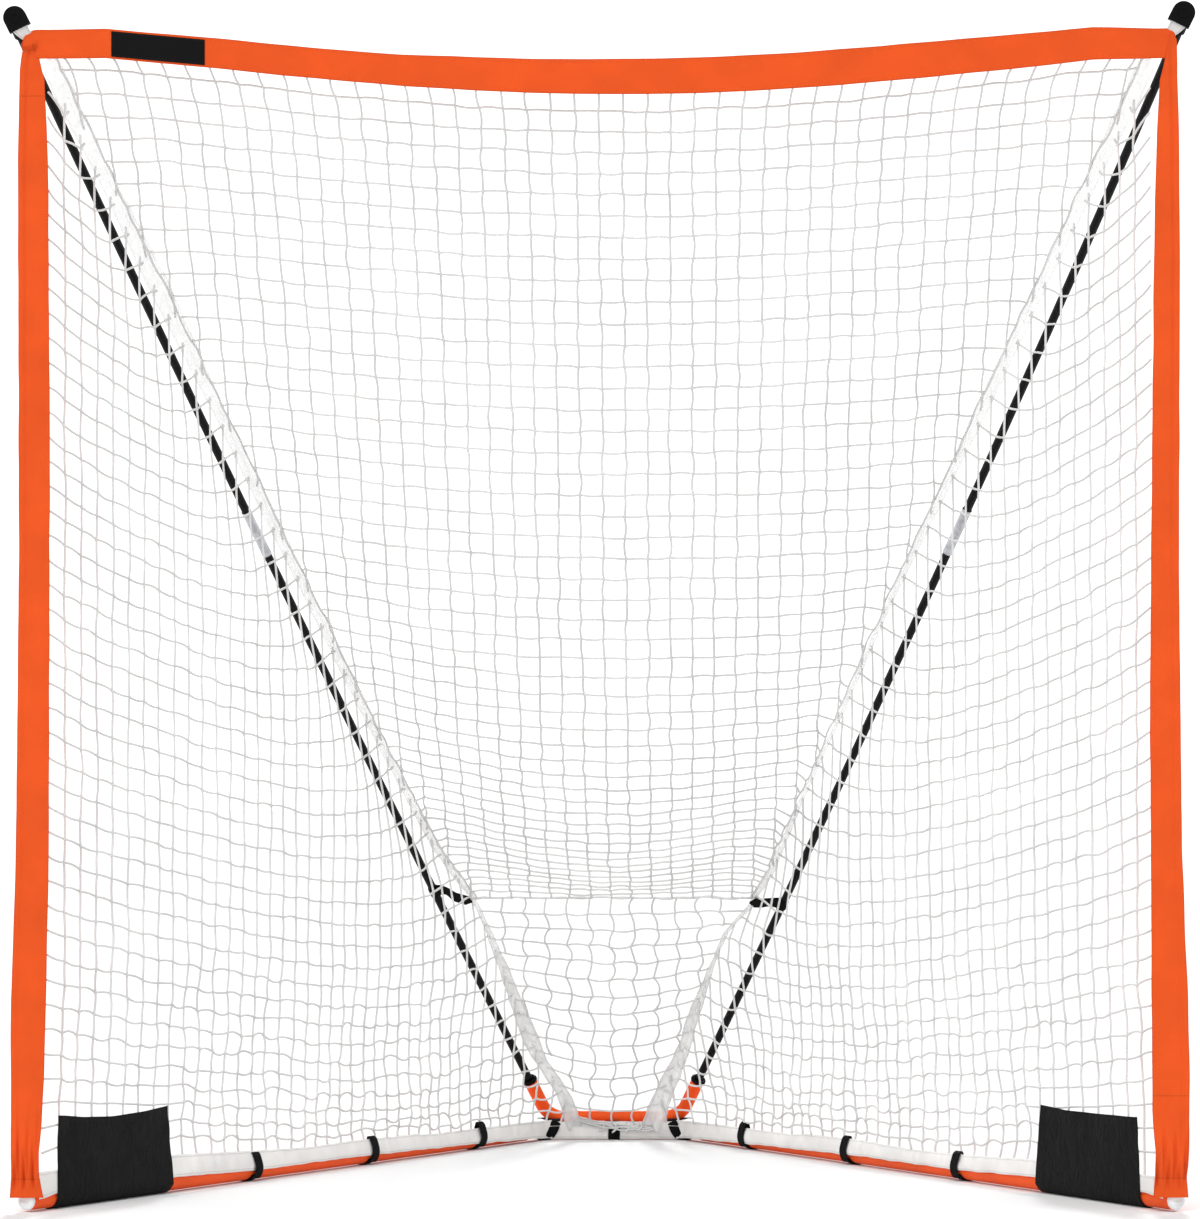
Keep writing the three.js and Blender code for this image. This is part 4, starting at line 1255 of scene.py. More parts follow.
@dataclass
class GroundFrame:
    """The rails, the rear frame with its sockets, and the small parts in them."""

    layout: Layout = LAYOUT
    rail_inset: float = 0.8
    weld_offset: float = 72
    weld_reach: int = 22
    weld_radius: float = 3.4
    collar_lip: float = 1.8
    collar_stem: float = 10.9

    def build(self) -> None:
        """Builds every tube and dresses what stays."""
        for side in Side:
            self._rail(side)
            self._collar(side)
            dress(f"{side.label}_rail_end_plug", "pale_plastic")
            dress(f"{side.label}_rail_button", "steel")
            dress(f"{side.label}_button_spring", "steel")
        self._rear_frame()

    def _pipe(self, name: str, route: Sequence[Vector], radius: float, side: Side) -> list[bpy.types.Mesh]:
        """Builds a tube with an open, rounded rim at each end.

        Args:
            name: The tube's name.
            route: Its centre line.
            radius: Its outer radius.
            side: The half that it is made on.

        Returns:
            The tube's outer and inner faces and its two rims.
        """
        wall = self.layout.wall
        outer = tube_mesh(name, [route], radius, 14, side, caps=False)
        inner = tube_mesh(name + "_bore", [route], radius - wall, 14, side, caps=False)
        inner.flip_normals()
        rims = []
        for end, before in ((route[0], route[1]), (route[-1], route[-2])):
            ring = [
                (radius - wall / 2 + wall / 2 * math.cos(a), wall / 2 * math.sin(a))
                for a in (i * math.pi / 4 for i in range(8))
            ]
            rims.append(turned_mesh(name + "_rim", ring, end, (end - before).normalized(), side, 36))
        return [outer, inner, *rims]

    def _rail(self, side: Side) -> None:
        """Builds one rail, from the mouth to the joint with the rear frame.

        Args:
            side: The half of the goal.
        """
        layout = self.layout
        start = layout.beside(self.rail_inset, 0, layout.ground_height)
        end = layout.beside(layout.rail_length - self.rail_inset, 0, layout.ground_height)
        route = fine([start, end], 40)
        name = f"{side.label}_rail_tube"
        mesh = join(self._pipe(name, route, layout.rail_radius, side), name)
        piece(name, mesh, "powder", [f"{side.label}_rail"])

    def _rear_frame(self) -> None:
        """Builds the ground tube, the socket tube and the welds that join them."""
        layout = self.layout
        mouth, bend = layout.socket_mouth, layout.socket_corner
        socket = rounded_route([mouth, bend, FLIP @ bend, FLIP @ mouth], layout.socket_bend)
        parts = self._pipe("ground_tube", layout.ground_route, layout.stub_radius, Side.RIGHT)
        parts += self._pipe("socket_tube", socket, layout.socket_radius, Side.RIGHT)
        reach = layout.stub_radius + layout.tubes_gap / 2
        height = layout.ground_height + reach * math.sin(layout.weld_angle)
        y = layout.depth + reach * math.cos(layout.weld_angle)
        steps = range(-self.weld_reach, self.weld_reach + 1, 2)
        for sign in (-1, 1):
            bead = [Vector((sign * self.weld_offset + step, y, height)) for step in steps]
            beads = [point + wobble(point, 3, 0.5) for point in bead]
            parts.append(tube_mesh("weld", [beads], self.weld_radius, 4))
        piece("rear_frame", join(parts, "rear_frame"), "powder", ["rear_base_frame"])

    def _collar(self, side: Side) -> None:
        """Builds the moulded collar in a socket's mouth.

        Args:
            side: The half of the goal.
        """
        layout = self.layout
        flange, bore = layout.socket_radius + self.collar_lip, layout.pole_radius + layout.pole_clearance
        stem = self.collar_stem
        profile = [(bore, -22), (stem, -22), (stem, 0.3), (flange - 0.4, 0.3), (flange, 0.8), (flange, 4.6)]
        profile += [(flange - 0.8, 6.2), (flange - 2.6, 7.2), (bore + 0.8, 7.2), (bore, 6.4)]
        name = f"{side.label}_collar"
        mesh = turned_mesh(name, profile, layout.socket_mouth, layout.socket_way, side)
        piece(name, mesh, "black_plastic", [f"{side.label}_socket_collar"])


@dataclass
class Poles:
    """The two bowed poles with their ferrules, caps and webbing."""

    layout: Layout = LAYOUT
    insertion: float = 52
    cap_lean: float = math.pi * 0.147
    halves_gap: float = 0.3
    cap_gap: float = 0.2
    ferrule_half: float = 51
    ferrule_wall: float = 1.1
    spans: int = 60

    def build(self) -> None:
        """Builds both poles."""
        for side in Side:
            self._halves(side)
            self._ferrule(side)
            dress(f"{side.label}_tip_cap", "black_plastic")
            self._webbing(side)

    def _halves(self, side: Side) -> None:
        """Builds both halves of one pole.

        Args:
            side: The half of the goal.
        """
        layout = self.layout
        middle = self.spans // 2
        lower = [layout.bow(i / self.spans) for i in range(middle + 1)]
        lower[-1] -= layout.bow_way(0.5) * self.halves_gap
        lower.insert(0, layout.socket_mouth - layout.socket_way * self.insertion)
        straight = (layout.tip - layout.crown).normalized()
        upper = [layout.bow(i / self.spans) for i in range(middle, self.spans + 1)]
        upper[0] += layout.bow_way(0.5) * self.halves_gap
        upper[-1] -= straight * self.cap_gap
        for name, route in (("lower_pole", lower), ("upper_pole", upper)):
            full = f"{side.label}_{name}"
            mesh = tube_mesh(full, [fine(route, 40)], layout.pole_radius, 8, side)
            piece(f"{full}_rod", mesh, "fibreglass", [full])

    def _ferrule(self, side: Side) -> None:
        """Builds the plated tube that joins a pole's halves, with a rolled bead at each end.

        Args:
            side: The half of the goal.
        """
        layout = self.layout
        bore, half = layout.pole_radius + layout.pole_clearance, self.ferrule_half
        outer = bore + self.ferrule_wall
        rim = [(bore, half), (outer - 0.2, half), (outer + 0.15, half - 0.8), (outer + 0.15, half - 2.6)]
        rim.append((outer - 0.3, half - 3.6))
        profile = rim + [(radius, -height) for radius, height in reversed(rim)]
        name = f"{side.label}_ferrule_tube"
        mesh = turned_mesh(name, profile, layout.bow(0.5), layout.bow_way(0.5), side)
        piece(name, mesh, "steel", [f"{side.label}_ferrule"])

    def _webbing(self, side: Side) -> None:
        """Lays the webbing from behind the band's corner into the cap's slot.

        Args:
            side: The half of the goal.
        """
        up = Vector((math.sin(self.cap_lean), 0, math.cos(self.cap_lean)))
        across = Vector((up.z, 0, -up.x))
        slot = Vector((-3, -10.7, 4))
        route = [Vector((-28, -3.3, -40)), Vector((-25, -3.5, -30)), slot - up * 20, slot + up * 11.4]
        widths = ((0, 15), (1 / 3, 16.5), (2 / 3, 26), (1, 26))

        def place(u: float, v: float) -> Vector:
            """Finds a place on the webbing.

            Args:
                u: Share across its width.
                v: Share along its length.

            Returns:
                The place in the goal's plan.
            """
            pucker = Vector((0, 0.7 * math.sin(u * 15) * smooth(1 - 1.6 * v), 0))
            return self.layout.tip + flow(route, v) + across * ((u - 0.5) * between(widths, v)) + pucker

        name = f"{side.label}_tab_webbing"
        mesh = sheet_mesh(name, 12, 36, (26, 64), place, side)
        nodes, body = [f"{side.label}_tip_webbing"], f"{side.label}_cap"
        made = piece(name, mesh, "webbing", nodes, body)
        thicken(made, 1.6, 0.4)


@dataclass
class Mouth:
    """The orange fabric round the mouth."""

    layout: Layout = LAYOUT
    foot: float = 24
    cinches: dict[Side, float] = field(default_factory=lambda: {Side.LEFT: 54, Side.RIGHT: 55})
    tops: dict[Side, float] = field(default_factory=lambda: {Side.LEFT: 1888, Side.RIGHT: 1899})
    outer_edges: dict[Side, Table] = field(
        default_factory=lambda: {
            Side.LEFT: ((19, 952), (59, 948.5), (76, 948.5), (132, 951.7), (342, 952), (422, 949),
                        (584, 944.2), (1053, 940), (1703, 942.5), (1785, 941), (1850, 939.5), (1870, 937.5),
                        (1888, 934)),
            Side.RIGHT: ((19, 945), (59, 942.5), (76, 944.2), (131, 947.7), (211, 949.7), (340, 947),
                         (581, 938.6), (1049, 936), (1534, 940), (1745, 939.5), (1802, 938), (1891, 935.5),
                         (1899, 931)),
        }
    )
    inner_edges: dict[Side, Table] = field(
        default_factory=lambda: {
            Side.LEFT: ((19, 896), (43, 901.4), (59, 904.6), (100, 904.7), (213, 898.4), (342, 895.3),
                        (584, 891), (1248, 890), (1703, 893.7), (1785, 897), (1833, 899.5), (1863, 907),
                        (1888, 913)),
            Side.RIGHT: ((19, 888.5), (59, 892.7), (99, 892.9), (163, 889), (823, 888.3), (1049, 891),
                         (1534, 898), (1631, 900.2), (1745, 904), (1826, 909), (1855, 916), (1899, 925)),
        }
    )
    tucks: dict[Side, float] = field(default_factory=lambda: {Side.LEFT: 2.2, Side.RIGHT: 5.0})
    band_width: float = 53
    band_thickness: float = 1.8
    fold_height: float = 1888.5
    fold_depth: float = 8.5
    strip_width: float = 54
    strip_thickness: float = 2.2
    hem_top: float = 78
    hem_forward: float = 15
    label_inset: float = 124
    label_length: float = 152
    label_height: float = 41.5
    label_margin: float = 3.2
    label_thickness: float = 0.7

    def build(self) -> None:
        """Builds the band, the label patch and both strips."""
        self._band()
        self._label()
        for side in Side:
            self._strip(side)

    def _band(self) -> None:
        """Builds the top band, a folded sleeve that hangs slack, with a rolled fold at its left corner."""
        layout = self.layout
        left, right = -layout.band_ends[0], layout.band_ends[1]

        def place(u: float, v: float) -> Vector:
            """Finds a place on the band.

            Args:
                u: Share across its width.
                v: Share along its length.

            Returns:
                The place in the goal's plan.
            """
            x = lerp(left, right, v)
            low = layout.band_low(x) + 15 * smooth((-912 - x) / 7)
            high = layout.band_top(x)
            z = lerp(low, high, u) + 0.5 * ripple(x / 70, 7.0, u)
            flutter = 0.5 * math.sin(x / 17 + 3 * ripple(x / 90)) * (1 - u) ** 2
            sag = 0.9 * ripple(x / 60, z / 50, 3.0) + flutter
            near = smooth((abs(x) - 780) / 120)
            drag = 1.4 * near * math.sin((z - low) / 7 + x / 26) * (1 - u)
            reach = 2.6 if z < self.fold_height else 8
            lip = smooth((-909 - x) / 6) * math.exp(-(((z - self.fold_height) / reach) ** 2))
            return Vector((x, -1.0 + 0.55 * sag + 0.4 * drag - self.fold_depth * lip, z))

        mesh = sheet_mesh("band_sleeve", 40, 640, (self.band_width, right - left), place)
        made = piece("band_sleeve", mesh, "band", ["top_band"])
        thicken(made, self.band_thickness, 0.5)

    def _label(self) -> None:
        """Builds the bare black patch sewn near the band's left end."""
        layout = self.layout
        start = self.label_inset - layout.half_mouth

        def place(u: float, v: float) -> Vector:
            """Finds a place on the patch.

            Args:
                u: Share across its width.
                v: Share along its length.

            Returns:
                The place in the goal's plan.
            """
            x = start + v * self.label_length
            z = layout.band_low(x) + self.label_margin + self.label_height * u
            return Vector((x, -2.8 + 0.35 * ripple(x / 60, z / 50, 3.0) + 0.2 * ripple(x / 22, z / 20), z))

        mesh = sheet_mesh("label_cloth", 10, 40, (self.label_height, self.label_length), place)
        made = piece("label_cloth", mesh, "label", ["label_patch"])
        thicken(made, self.label_thickness, 0.2)

    def _strip(self, side: Side) -> None:
        """Builds an edge strip: a flat sleeve with one long crease, gathered above its hem.

        Args:
            side: The half of the goal.
        """
        layout = self.layout
        outer, inner, top = self.outer_edges[side], self.inner_edges[side], self.tops[side]
        phase, cinch = 5.0 * side.value, self.cinches[side]

        def place(u: float, v: float) -> Vector:
            """Finds a place on the strip.

            Args:
                u: Share across its width.
                v: Share along its length.

            Returns:
                The place in the goal's plan.
            """
            z = lerp(self.foot, top, v)
            fray = 0.8 * ripple(z / 80, phase, round(u)) * (2 * u - 1)
            x = lerp(between(inner, z), between(outer, z), u) + fray
            gather = math.exp(-(((z - cinch) / (16 if z < cinch else 70)) ** 2))
            crush = gather * (3.3 * math.sin(u * 21 + z / 34 + phase) + 1.5 * math.sin(u * 38 - z / 50))
            crush += 2.0 * math.exp(-(((z - cinch) / 2.4) ** 2))
            strength = lerp(0.45, 1.0, smooth((z - 700) / 900))
            crease = 2.4 * strength * math.exp(-(((between(outer, z) - x - 11) / 3.2) ** 2))
            crown = 1.4 * (1 - (2 * u - 1) ** 2)
            wave = 0.7 * ripple(u * 0.8, z / 60, phase) + 0.3 * math.sin(z / 15 + u * 3)
            held = self.hem_forward * (1 - smooth((z - self.hem_top) / 72))
            tuck = self.tucks[side] * smooth((z - layout.band_corner + 24) / 18)
            return Vector((x, 2.4 - held + crush + crease - crown + 0.6 * wave - tuck, z))

        name = f"{side.label}_strip_sleeve"
        mesh = sheet_mesh(name, 32, 460, (self.strip_width, top - self.foot), place, side)
        made = piece(name, mesh, f"{side.label}_strip", [f"{side.label}_edge_strip"])
        thicken(made, self.strip_thickness, 0.6)
        f"{side.label}_rail_tube"


@dataclass
class Nets:
    """The white square mesh: roof, rear and two sides, with the tapes over their seams."""

    layout: Layout = LAYOUT
    radius: float = 1.95
    knot: float = 3.0
    slides: dict[Side, float] = field(default_factory=lambda: {Side.LEFT: 0.10, Side.RIGHT: 0.126})
    end_sag: float = 0.6
    chance: random.Random = field(default_factory=lambda: random.Random(SEED))
    tape_widths: dict[Side, Table] = field(
        default_factory=lambda: {
            Side.LEFT: ((-4, 13), (30, 15), (90, 16), (240, 10), (354, 16), (480, 19), (580, 17), (740, 11),
                        (950, 14), (1200, 12), (1450, 14), (1700, 12), (1930, 12), (1985, 6), (2040, 6),
                        (2254, 18), (2315, 22), (2380, 14), (2506, 17), (2560, 20)),
            Side.RIGHT: ((-4, 14), (30, 15), (130, 14), (240, 11), (436, 9), (740, 13), (950, 9), (1200, 6),
                         (1500, 5), (1733, 6), (1900, 9), (1985, 7), (2135, 5), (2254, 15), (2380, 17),
                         (2506, 23), (2560, 26)),
        }
    )
    roof_rows: int = 50
    roof_pitch: float = 39.6
    rear_rows: int = 14
    rear_columns: int = 6
    rear_pitch: float = 40.6
    side_columns: int = 42
    side_pitch: float = 40
    sag_depth: float = 215
    sag_reach: float = 240
    seam_gap: float = 8
    border: float = 9
    tape_width: float = 30
    tape_thickness: float = 0.9
    tape_start: float = -4.0
    tape_tail: float = 5.0
    tape_floor: float = 2.0

    def build(self) -> None:
        """Builds all the nets and tapes."""
        self._roof()
        self._rear()
        for side in Side:
            self._side(side)
            self._tape(side)

    def _scatter(self) -> Vector:
        """A direction drawn at random, the same way each run."""
        return Vector([self.chance.uniform(-1, 1) for _ in range(3)])

    def _loosen(self, point: Vector, amount: float) -> Vector:
        """Moves a knot a little."""
        return point + wobble(point, 120, amount) + self._scatter() * amount * 0.35

    def _strands(
        self,
        routes: Sequence[Sequence[Vector]],
        bow: Sequence[float],
        steps: int = 4,
        stir: Callable[[Vector], float] | None = None,
    ) -> list[list[Vector]]:
        """Bends each bar between two knots a little.

        Args:
            routes: Lines through the knots.
            bow: How far the middle of a bar may leave the straight line, along each axis.
            steps: How many steps each bar has.
            stir: Gives the factor on the bow for a bar's first knot.

        Returns:
            The finer lines.
        """
        finer = []
        for route in routes:
            points = [route[0]]
            for first, last in zip(route, route[1:]):
                push = Vector([a * b for a, b in zip(self._scatter(), bow)])
                push *= stir(first) if stir else 1.0
                for step in range(1, steps + 1):
                    share = step / steps
                    points.append(first.lerp(last, share) + push * (4 * share * (1 - share)))
            finer.append(points)
        return finer

    def _weave(
        self,
        name: str,
        strands: Sequence[Sequence[Vector]],
        knots: Sequence[Vector],
        node: str,
        side: Side = Side.RIGHT,
    ) -> None:
        """Makes a net from its cords and knots.

        Args:
            name: The piece's name.
            strands: The cords' lines.
            knots: Where they cross.
            node: The solid that the net stands for.
            side: The half that it is made on.
        """
        cords = tube_mesh(name, [strand for strand in strands if len(strand) > 1], self.radius, 1, side)
        bm = bmesh.new()
        for point in knots:
            turn = Matrix.Rotation(self.chance.uniform(0, math.pi), 4, "Z")
            place = Matrix.Translation(LAYOUT.at(point, side)) @ turn
            bmesh.ops.create_icosphere(bm, subdivisions=1, radius=self.knot * MM, matrix=place)
        mesh = join([cords, to_mesh(bm, name + "_knots", outwards=False)], name)
        piece(name, mesh, "cord", [node])

    def _lift(self, side: Side, across: float, share: float) -> float:
        """Finds how far up the seams pull a row of the roof net; slack rows slide down them.

        Args:
            side: The half of the goal.
            across: 0 in the middle of the goal and 1 at the seam.
            share: The row's share of the way from the band to the fold.

        Returns:
            The pull, as a part of the way from the band to the fold.
        """
        belly = math.sin(math.pi * max(share, 0.0) ** self.layout.roof_sag_power)
        pull = 0.012 * across**3 * math.exp(-max(share, 0.0) / 0.05) * smooth(share / 0.015)
        return pull - self.slides[side] * belly * across**2

    def _pulled(self, x: float, share: float) -> tuple[float, float]:
        """Finds where the pull of the corners moves a place on the roof net.

        Args:
            x: Distance from the goal's middle at the band.
            share: 0 at the band and 1 at the fold.

        Returns:
            The distance and the share once it is pulled.
        """
        fan = 0.022 * (1 - math.exp(-share / 0.02)) + 0.03 * (1 - math.exp(-share / 0.3))
        place = x * (1 - fan)
        side = side_of(x)
        held = share
        for _ in range(3):
            across = min(abs(place) / self.layout.seam_point(held, True, side).x, 1.0)
            held = share - self._lift(side, across, share)
        return place, held

    def _roof_shares(self) -> list[float]:
        """Spaces the rows of the roof net evenly down its sagging middle.

        Returns:
            Each row's share of the way from the band to the fold.
        """
        spans = 400
        centre = [self.layout.roof_point(0, i / spans) for i in range(spans + 1)]
        lengths = [0.0]
        for first, last in zip(centre, centre[1:]):
            lengths.append(lengths[-1] + (last - first).length)
        table = [(length, i / spans) for i, length in enumerate(lengths)]
        return [between(table, lengths[-1] * k / self.roof_rows) for k in range(self.roof_rows + 1)]

    def _roof_end(self, x: float) -> Vector:
        """Finds where a cord that runs down the roof net meets the seam.

        Args:
            x: The cord's distance from the goal's middle at the band.

        Returns:
            The place in the goal's plan.
        """
        low, high = 0.0, 1.0
        for _ in range(20):
            middle = (low + high) / 2
            place, held = self._pulled(x, middle)
            if self.layout.seam_point(held, True, side_of(x)).x > abs(place):
                low = middle
            else:
                high = middle
        return self.layout.roof_point(*self._pulled(x, low))

    def _roof(self) -> None:
        """Builds the roof net, from the band down to the fold, with a scalloped cord along each seam."""
        layout = self.layout
        rows = self.roof_rows
        shares = self._roof_shares()
        half = int(layout.half_mouth // self.roof_pitch)
        columns = [i * self.roof_pitch for i in range(-half, half + 1)]
        grid: dict[tuple[int, int], Vector] = {}
        for k, share in enumerate(shares):
            for j, x in enumerate(columns):
                place, held = self._pulled(x, share)
                if abs(place) < layout.seam_point(held, True, side_of(x)).x - self.seam_gap:
                    grid[k, j] = self._loosen(layout.roof_point(place, held), 2.6 if 0 < k < rows else 0)
        across, borders = [], {side: [] for side in Side}
        for k, share in enumerate(shares):
            inner = [grid[k, j] for j in range(len(columns)) if (k, j) in grid]
            ends = {}
            for side in Side:
                held = share - self._lift(side, 1.0, share)
                edge = layout.seam_point(held, True, side).x - self.border
                ends[side] = layout.roof_point(side.value * edge, held) + self._scatter() * 1.5
                borders[side].append(ends[side])
            across.append([ends[Side.LEFT], *inner, ends[Side.RIGHT]])
        down = []
        for j, x in enumerate(columns):
            line = [grid[k, j] for k in range(rows + 1) if (k, j) in grid]
            if line and len(line) <= rows:
                line.append(self._roof_end(x))
            if line:
                down.append(line)
        strands = self._strands(across, (0.5, 1.5, 2.2)) + self._strands(down, (2.6, 1, 1))
        strands += self._strands(list(borders.values()), (3, 2, 1))
        self._weave("roof_mesh", strands, list(grid.values()), "roof_net")

    def _rear(self) -> None:
        """Builds the small rear net, whose foot drapes over the rear tubes."""
        layout = self.layout
        rows = self.rear_rows
        shares = [k / rows - 0.06 * math.sin(math.pi * k / rows) for k in range(rows + 1)]
        columns = [i * self.rear_pitch for i in range(-self.rear_columns, self.rear_columns + 1)]
        grid: dict[tuple[int, int], Vector] = {}
        for k in range(rows + 1):
            for j, x in enumerate(columns):
                edge = layout.seam_point(shares[k], False, side_of(x)).x
                if abs(x) < edge - self.seam_gap:
                    shift = 4.0 * (-1) ** k if 0 < k < rows else 0
                    point = layout.rear_point(x + shift, shares[k])
                    grid[k, j] = self._loosen(point, 3.0 if k else 0)
        across = []
        for k in range(rows + 1):
            inner = [grid[k, j] for j in range(len(columns)) if (k, j) in grid]
            ends = []
            for side in (Side.LEFT, Side.RIGHT):
                edge = layout.seam_point(shares[k], False, side).x
                ends.append(layout.rear_point(side.value * (edge - 2), shares[k]))
            across.append([ends[0], *inner, ends[1]])
        down = [[grid[k, j] for k in range(rows + 1) if (k, j) in grid] for j in range(len(columns))]
        strands = self._strands(across, (0.5, 1, 3.5)) + self._strands(down, (7, 2, 1), 6)
        strands += self._drape()
        self._weave("rear_mesh", strands, list(grid.values()), "rear_net")

    def _drape(self) -> list[list[Vector]]:
        """Bunches the rear net's last cords over the rear tubes.

        Returns:
            The cords' lines.
        """
        layout, strands = self.layout, []
        foot = layout.seam_point(1, False, Side.RIGHT)
        for i in range(3):
            reach, drop = foot.x + 20 * self.chance.random(), 5 + 3 * i
            line = []
            for step in range(25):
                t = step / 12 - 1
                x = t * reach
                z = 36 - 11 * t - 2 * i - drop * (1 - t * t)
                line.append(Vector((x, foot.y - 2.5 - 1.5 * i, z)) + wobble(Vector((x, 90 * i, z)), 22, 3.5))
            strands.append(line)
        for i in range(-1, 3):
            top = layout.rear_point(i * 24, 1) + Vector((0, -3, 6))
            line = [top, top + Vector((5, -4, -9)), top + Vector((-3, -5, -17)), top + Vector((7, -3, -8))]
            strands.append([flow(line, step / 12) for step in range(13)])
        return strands

    def _drop(self, along: float, height: float) -> float:
        """Finds how far the side net sags at a place.

        Args:
            along: Distance along the rail.
            height: Height above the ground if the net hung level.

        Returns:
            The sag in millimetres.
        """
        start = self.layout.seam[0][0]
        depth = self._depth(height)
        end = self.layout.seam_along(height - self.end_sag * depth)
        run = min(max((along - start) / max(end - start, 1), 0.0), 1.0)
        return depth * run**0.8 * (1.25 - (1.25 - self.end_sag) * run**5)

    def _depth(self, height: float) -> float:
        """Finds how far a level line of the side net can sag: a long one most, one by the skirt hardly.

        Args:
            height: The line's height at the strip.

        Returns:
            The sag in millimetres.
        """
        share = self.layout.seam_along(height) / self.layout.seam[2][0]
        rise = max(height - self.layout.skirt_top, 0)
        return self.sag_depth * math.sqrt(share) * (1 - math.exp(-rise / self.sag_reach))

    def _side(self, side: Side) -> None:
        """Builds one side net, from the strip to the seam and down to the skirt.

        Args:
            side: The half of the goal.
        """
        layout = self.layout
        count, bar = self.side_columns, self.side_pitch
        top, _, end = layout.seam
        columns = [lerp(top[0], end[0], 1.17 * i / count - 0.17 * (i / count) ** 2) for i in range(1, count)]
        rows = [layout.skirt_top + bar * k for k in range(1, int((top[1] - layout.skirt_top) / bar) + 1)]
        grid: dict[tuple[int, int], Vector] = {}
        for j, along in enumerate(columns):
            ceiling = layout.seam_height(along)
            settle = layout.skirt_top - between(layout.skirt_edges[side], along)
            for k, height in enumerate(rows):
                sunk = settle * smooth(1 - (height - layout.skirt_top) / 300)
                hung = height - self._drop(along, height) - sunk
                if hung < ceiling - 12:
                    point = layout.side_point(along, hung, side)
                    grid[j, k] = self._loosen(point, 3.4 * self._stir(point))
        across = []
        for k, height in enumerate(rows):
            inner = [grid[j, k] for j in range(len(columns)) if (j, k) in grid]
            across.append([layout.side_point(top[0], height, side), *inner, self._seam_end(height, side)])
        down = []
        for j, along in enumerate(columns):
            inner = [grid[j, k] for k in range(len(rows)) if (j, k) in grid]
            ceiling = layout.seam_height(along)
            floor = min(between(layout.skirt_edges[side], along) - 3, ceiling - 4)
            ends = [layout.side_point(along, height, side) for height in (floor, ceiling - 2)]
            down.append([ends[0], *inner, ends[1]])
        strands = self._strands(across, (0.8, 1, 2.8), stir=self._stir)
        strands += self._strands(down, (0.8, 2.8, 0.7), stir=self._stir)
        self._weave(f"{side.label}_side_mesh", strands, list(grid.values()), f"{side.label}_side_net", side)

    @staticmethod
    def _stir(point: Vector) -> float:
        """Finds how restless a side net is: most low down, and hardly at all behind a corner panel.

        Args:
            point: A place on the net.

        Returns:
            The factor on its looseness.
        """
        if point.z < 185 and point.y < 385:
            return 0.3
        return lerp(2.3, 1.0, smooth((point.z - 120) / 380))

    def _seam_end(self, height: float, side: Side) -> Vector:
        """Finds where a line of the side net that starts at a height meets the seam."""
        height -= self.end_sag * self._depth(height) + 2
        return self.layout.side_point(self.layout.seam_along(height) - 2, height, side)

    def _tape(self, side: Side) -> None:
        """Builds the gathered tape folded over one seam, whose tail is bunched over the rear tubes.

        Args:
            side: The half of the goal.
        """
        layout = self.layout
        top, fold, foot = (layout.seam_point(*pick, side) for pick in ((0, True), (1, True), (1, False)))
        upper = (fold - top).length
        total = upper + (foot - fold).length
        start, end = self.tape_start, total + self.tape_tail
        widths, phase = self.tape_widths[side], 3.0 * side.value

        def place(u: float, v: float) -> Vector:
            """Finds a place on the tape.

            Args:
                u: Share across its width.
                v: Share along its length.

            Returns:
                The place in the goal's plan.
            """
            run = lerp(start, end, v)
            on_roof = run <= upper
            share = run / upper if on_roof else min((run - upper) / (total - upper), 1.0)
            corners = layout.seam[:2] if on_roof else layout.seam[1:]
            along, height = (lerp(corners[0][i], corners[1][i], share) for i in (0, 1))
            way = Vector((corners[1][0] - corners[0][0], corners[1][1] - corners[0][1])).normalized()
            gather = 1 + 0.16 * ripple(run / 42, phase, 3.0 * round(u))
            spread = abs(2 * u - 1) * between(widths, run) * gather
            if u > 0.5:
                point = layout.side_point(along + way.y * spread, height - way.x * spread, side)
            else:
                edge = layout.seam_point(share, on_roof, side).x
                surface = layout.roof_point if on_roof else layout.rear_point
                point = surface(side.value * (edge - spread), share)
                point.x *= side.value
            over = max(run - total, 0.0)
            bunch = smooth((run - total + 70) / 90)
            pucker = (1.1 + 2.6 * bunch) * math.sin(run / 7.5 + 5 * ripple(run / 60, u * 2, phase))
            lift = 0.8 - 2.2 * bunch + pucker * (0.3 + abs(2 * u - 1))
            point += Vector((0.5 * lift, -0.4 * abs(lift) - 2.5 * bunch, 0.35 * lift))
            point += Vector((-0.6, -0.12, -0.72)) * over
            point += wobble(point, 30, 1.0 + 2.0 * bunch)
            point.z = max(point.z, self.tape_floor)
            return point

        name = f"{side.label}_seam_binding"
        length = end - start
        mesh = sheet_mesh(name, 10, 600, (self.tape_width, length), place, side)
        made = piece(name, mesh, "tape", [f"{side.label}_seam_tape"])
        thicken(made, self.tape_thickness)
        rests = ["roof_mesh", "rear_mesh", f"{side.label}_side_mesh"]


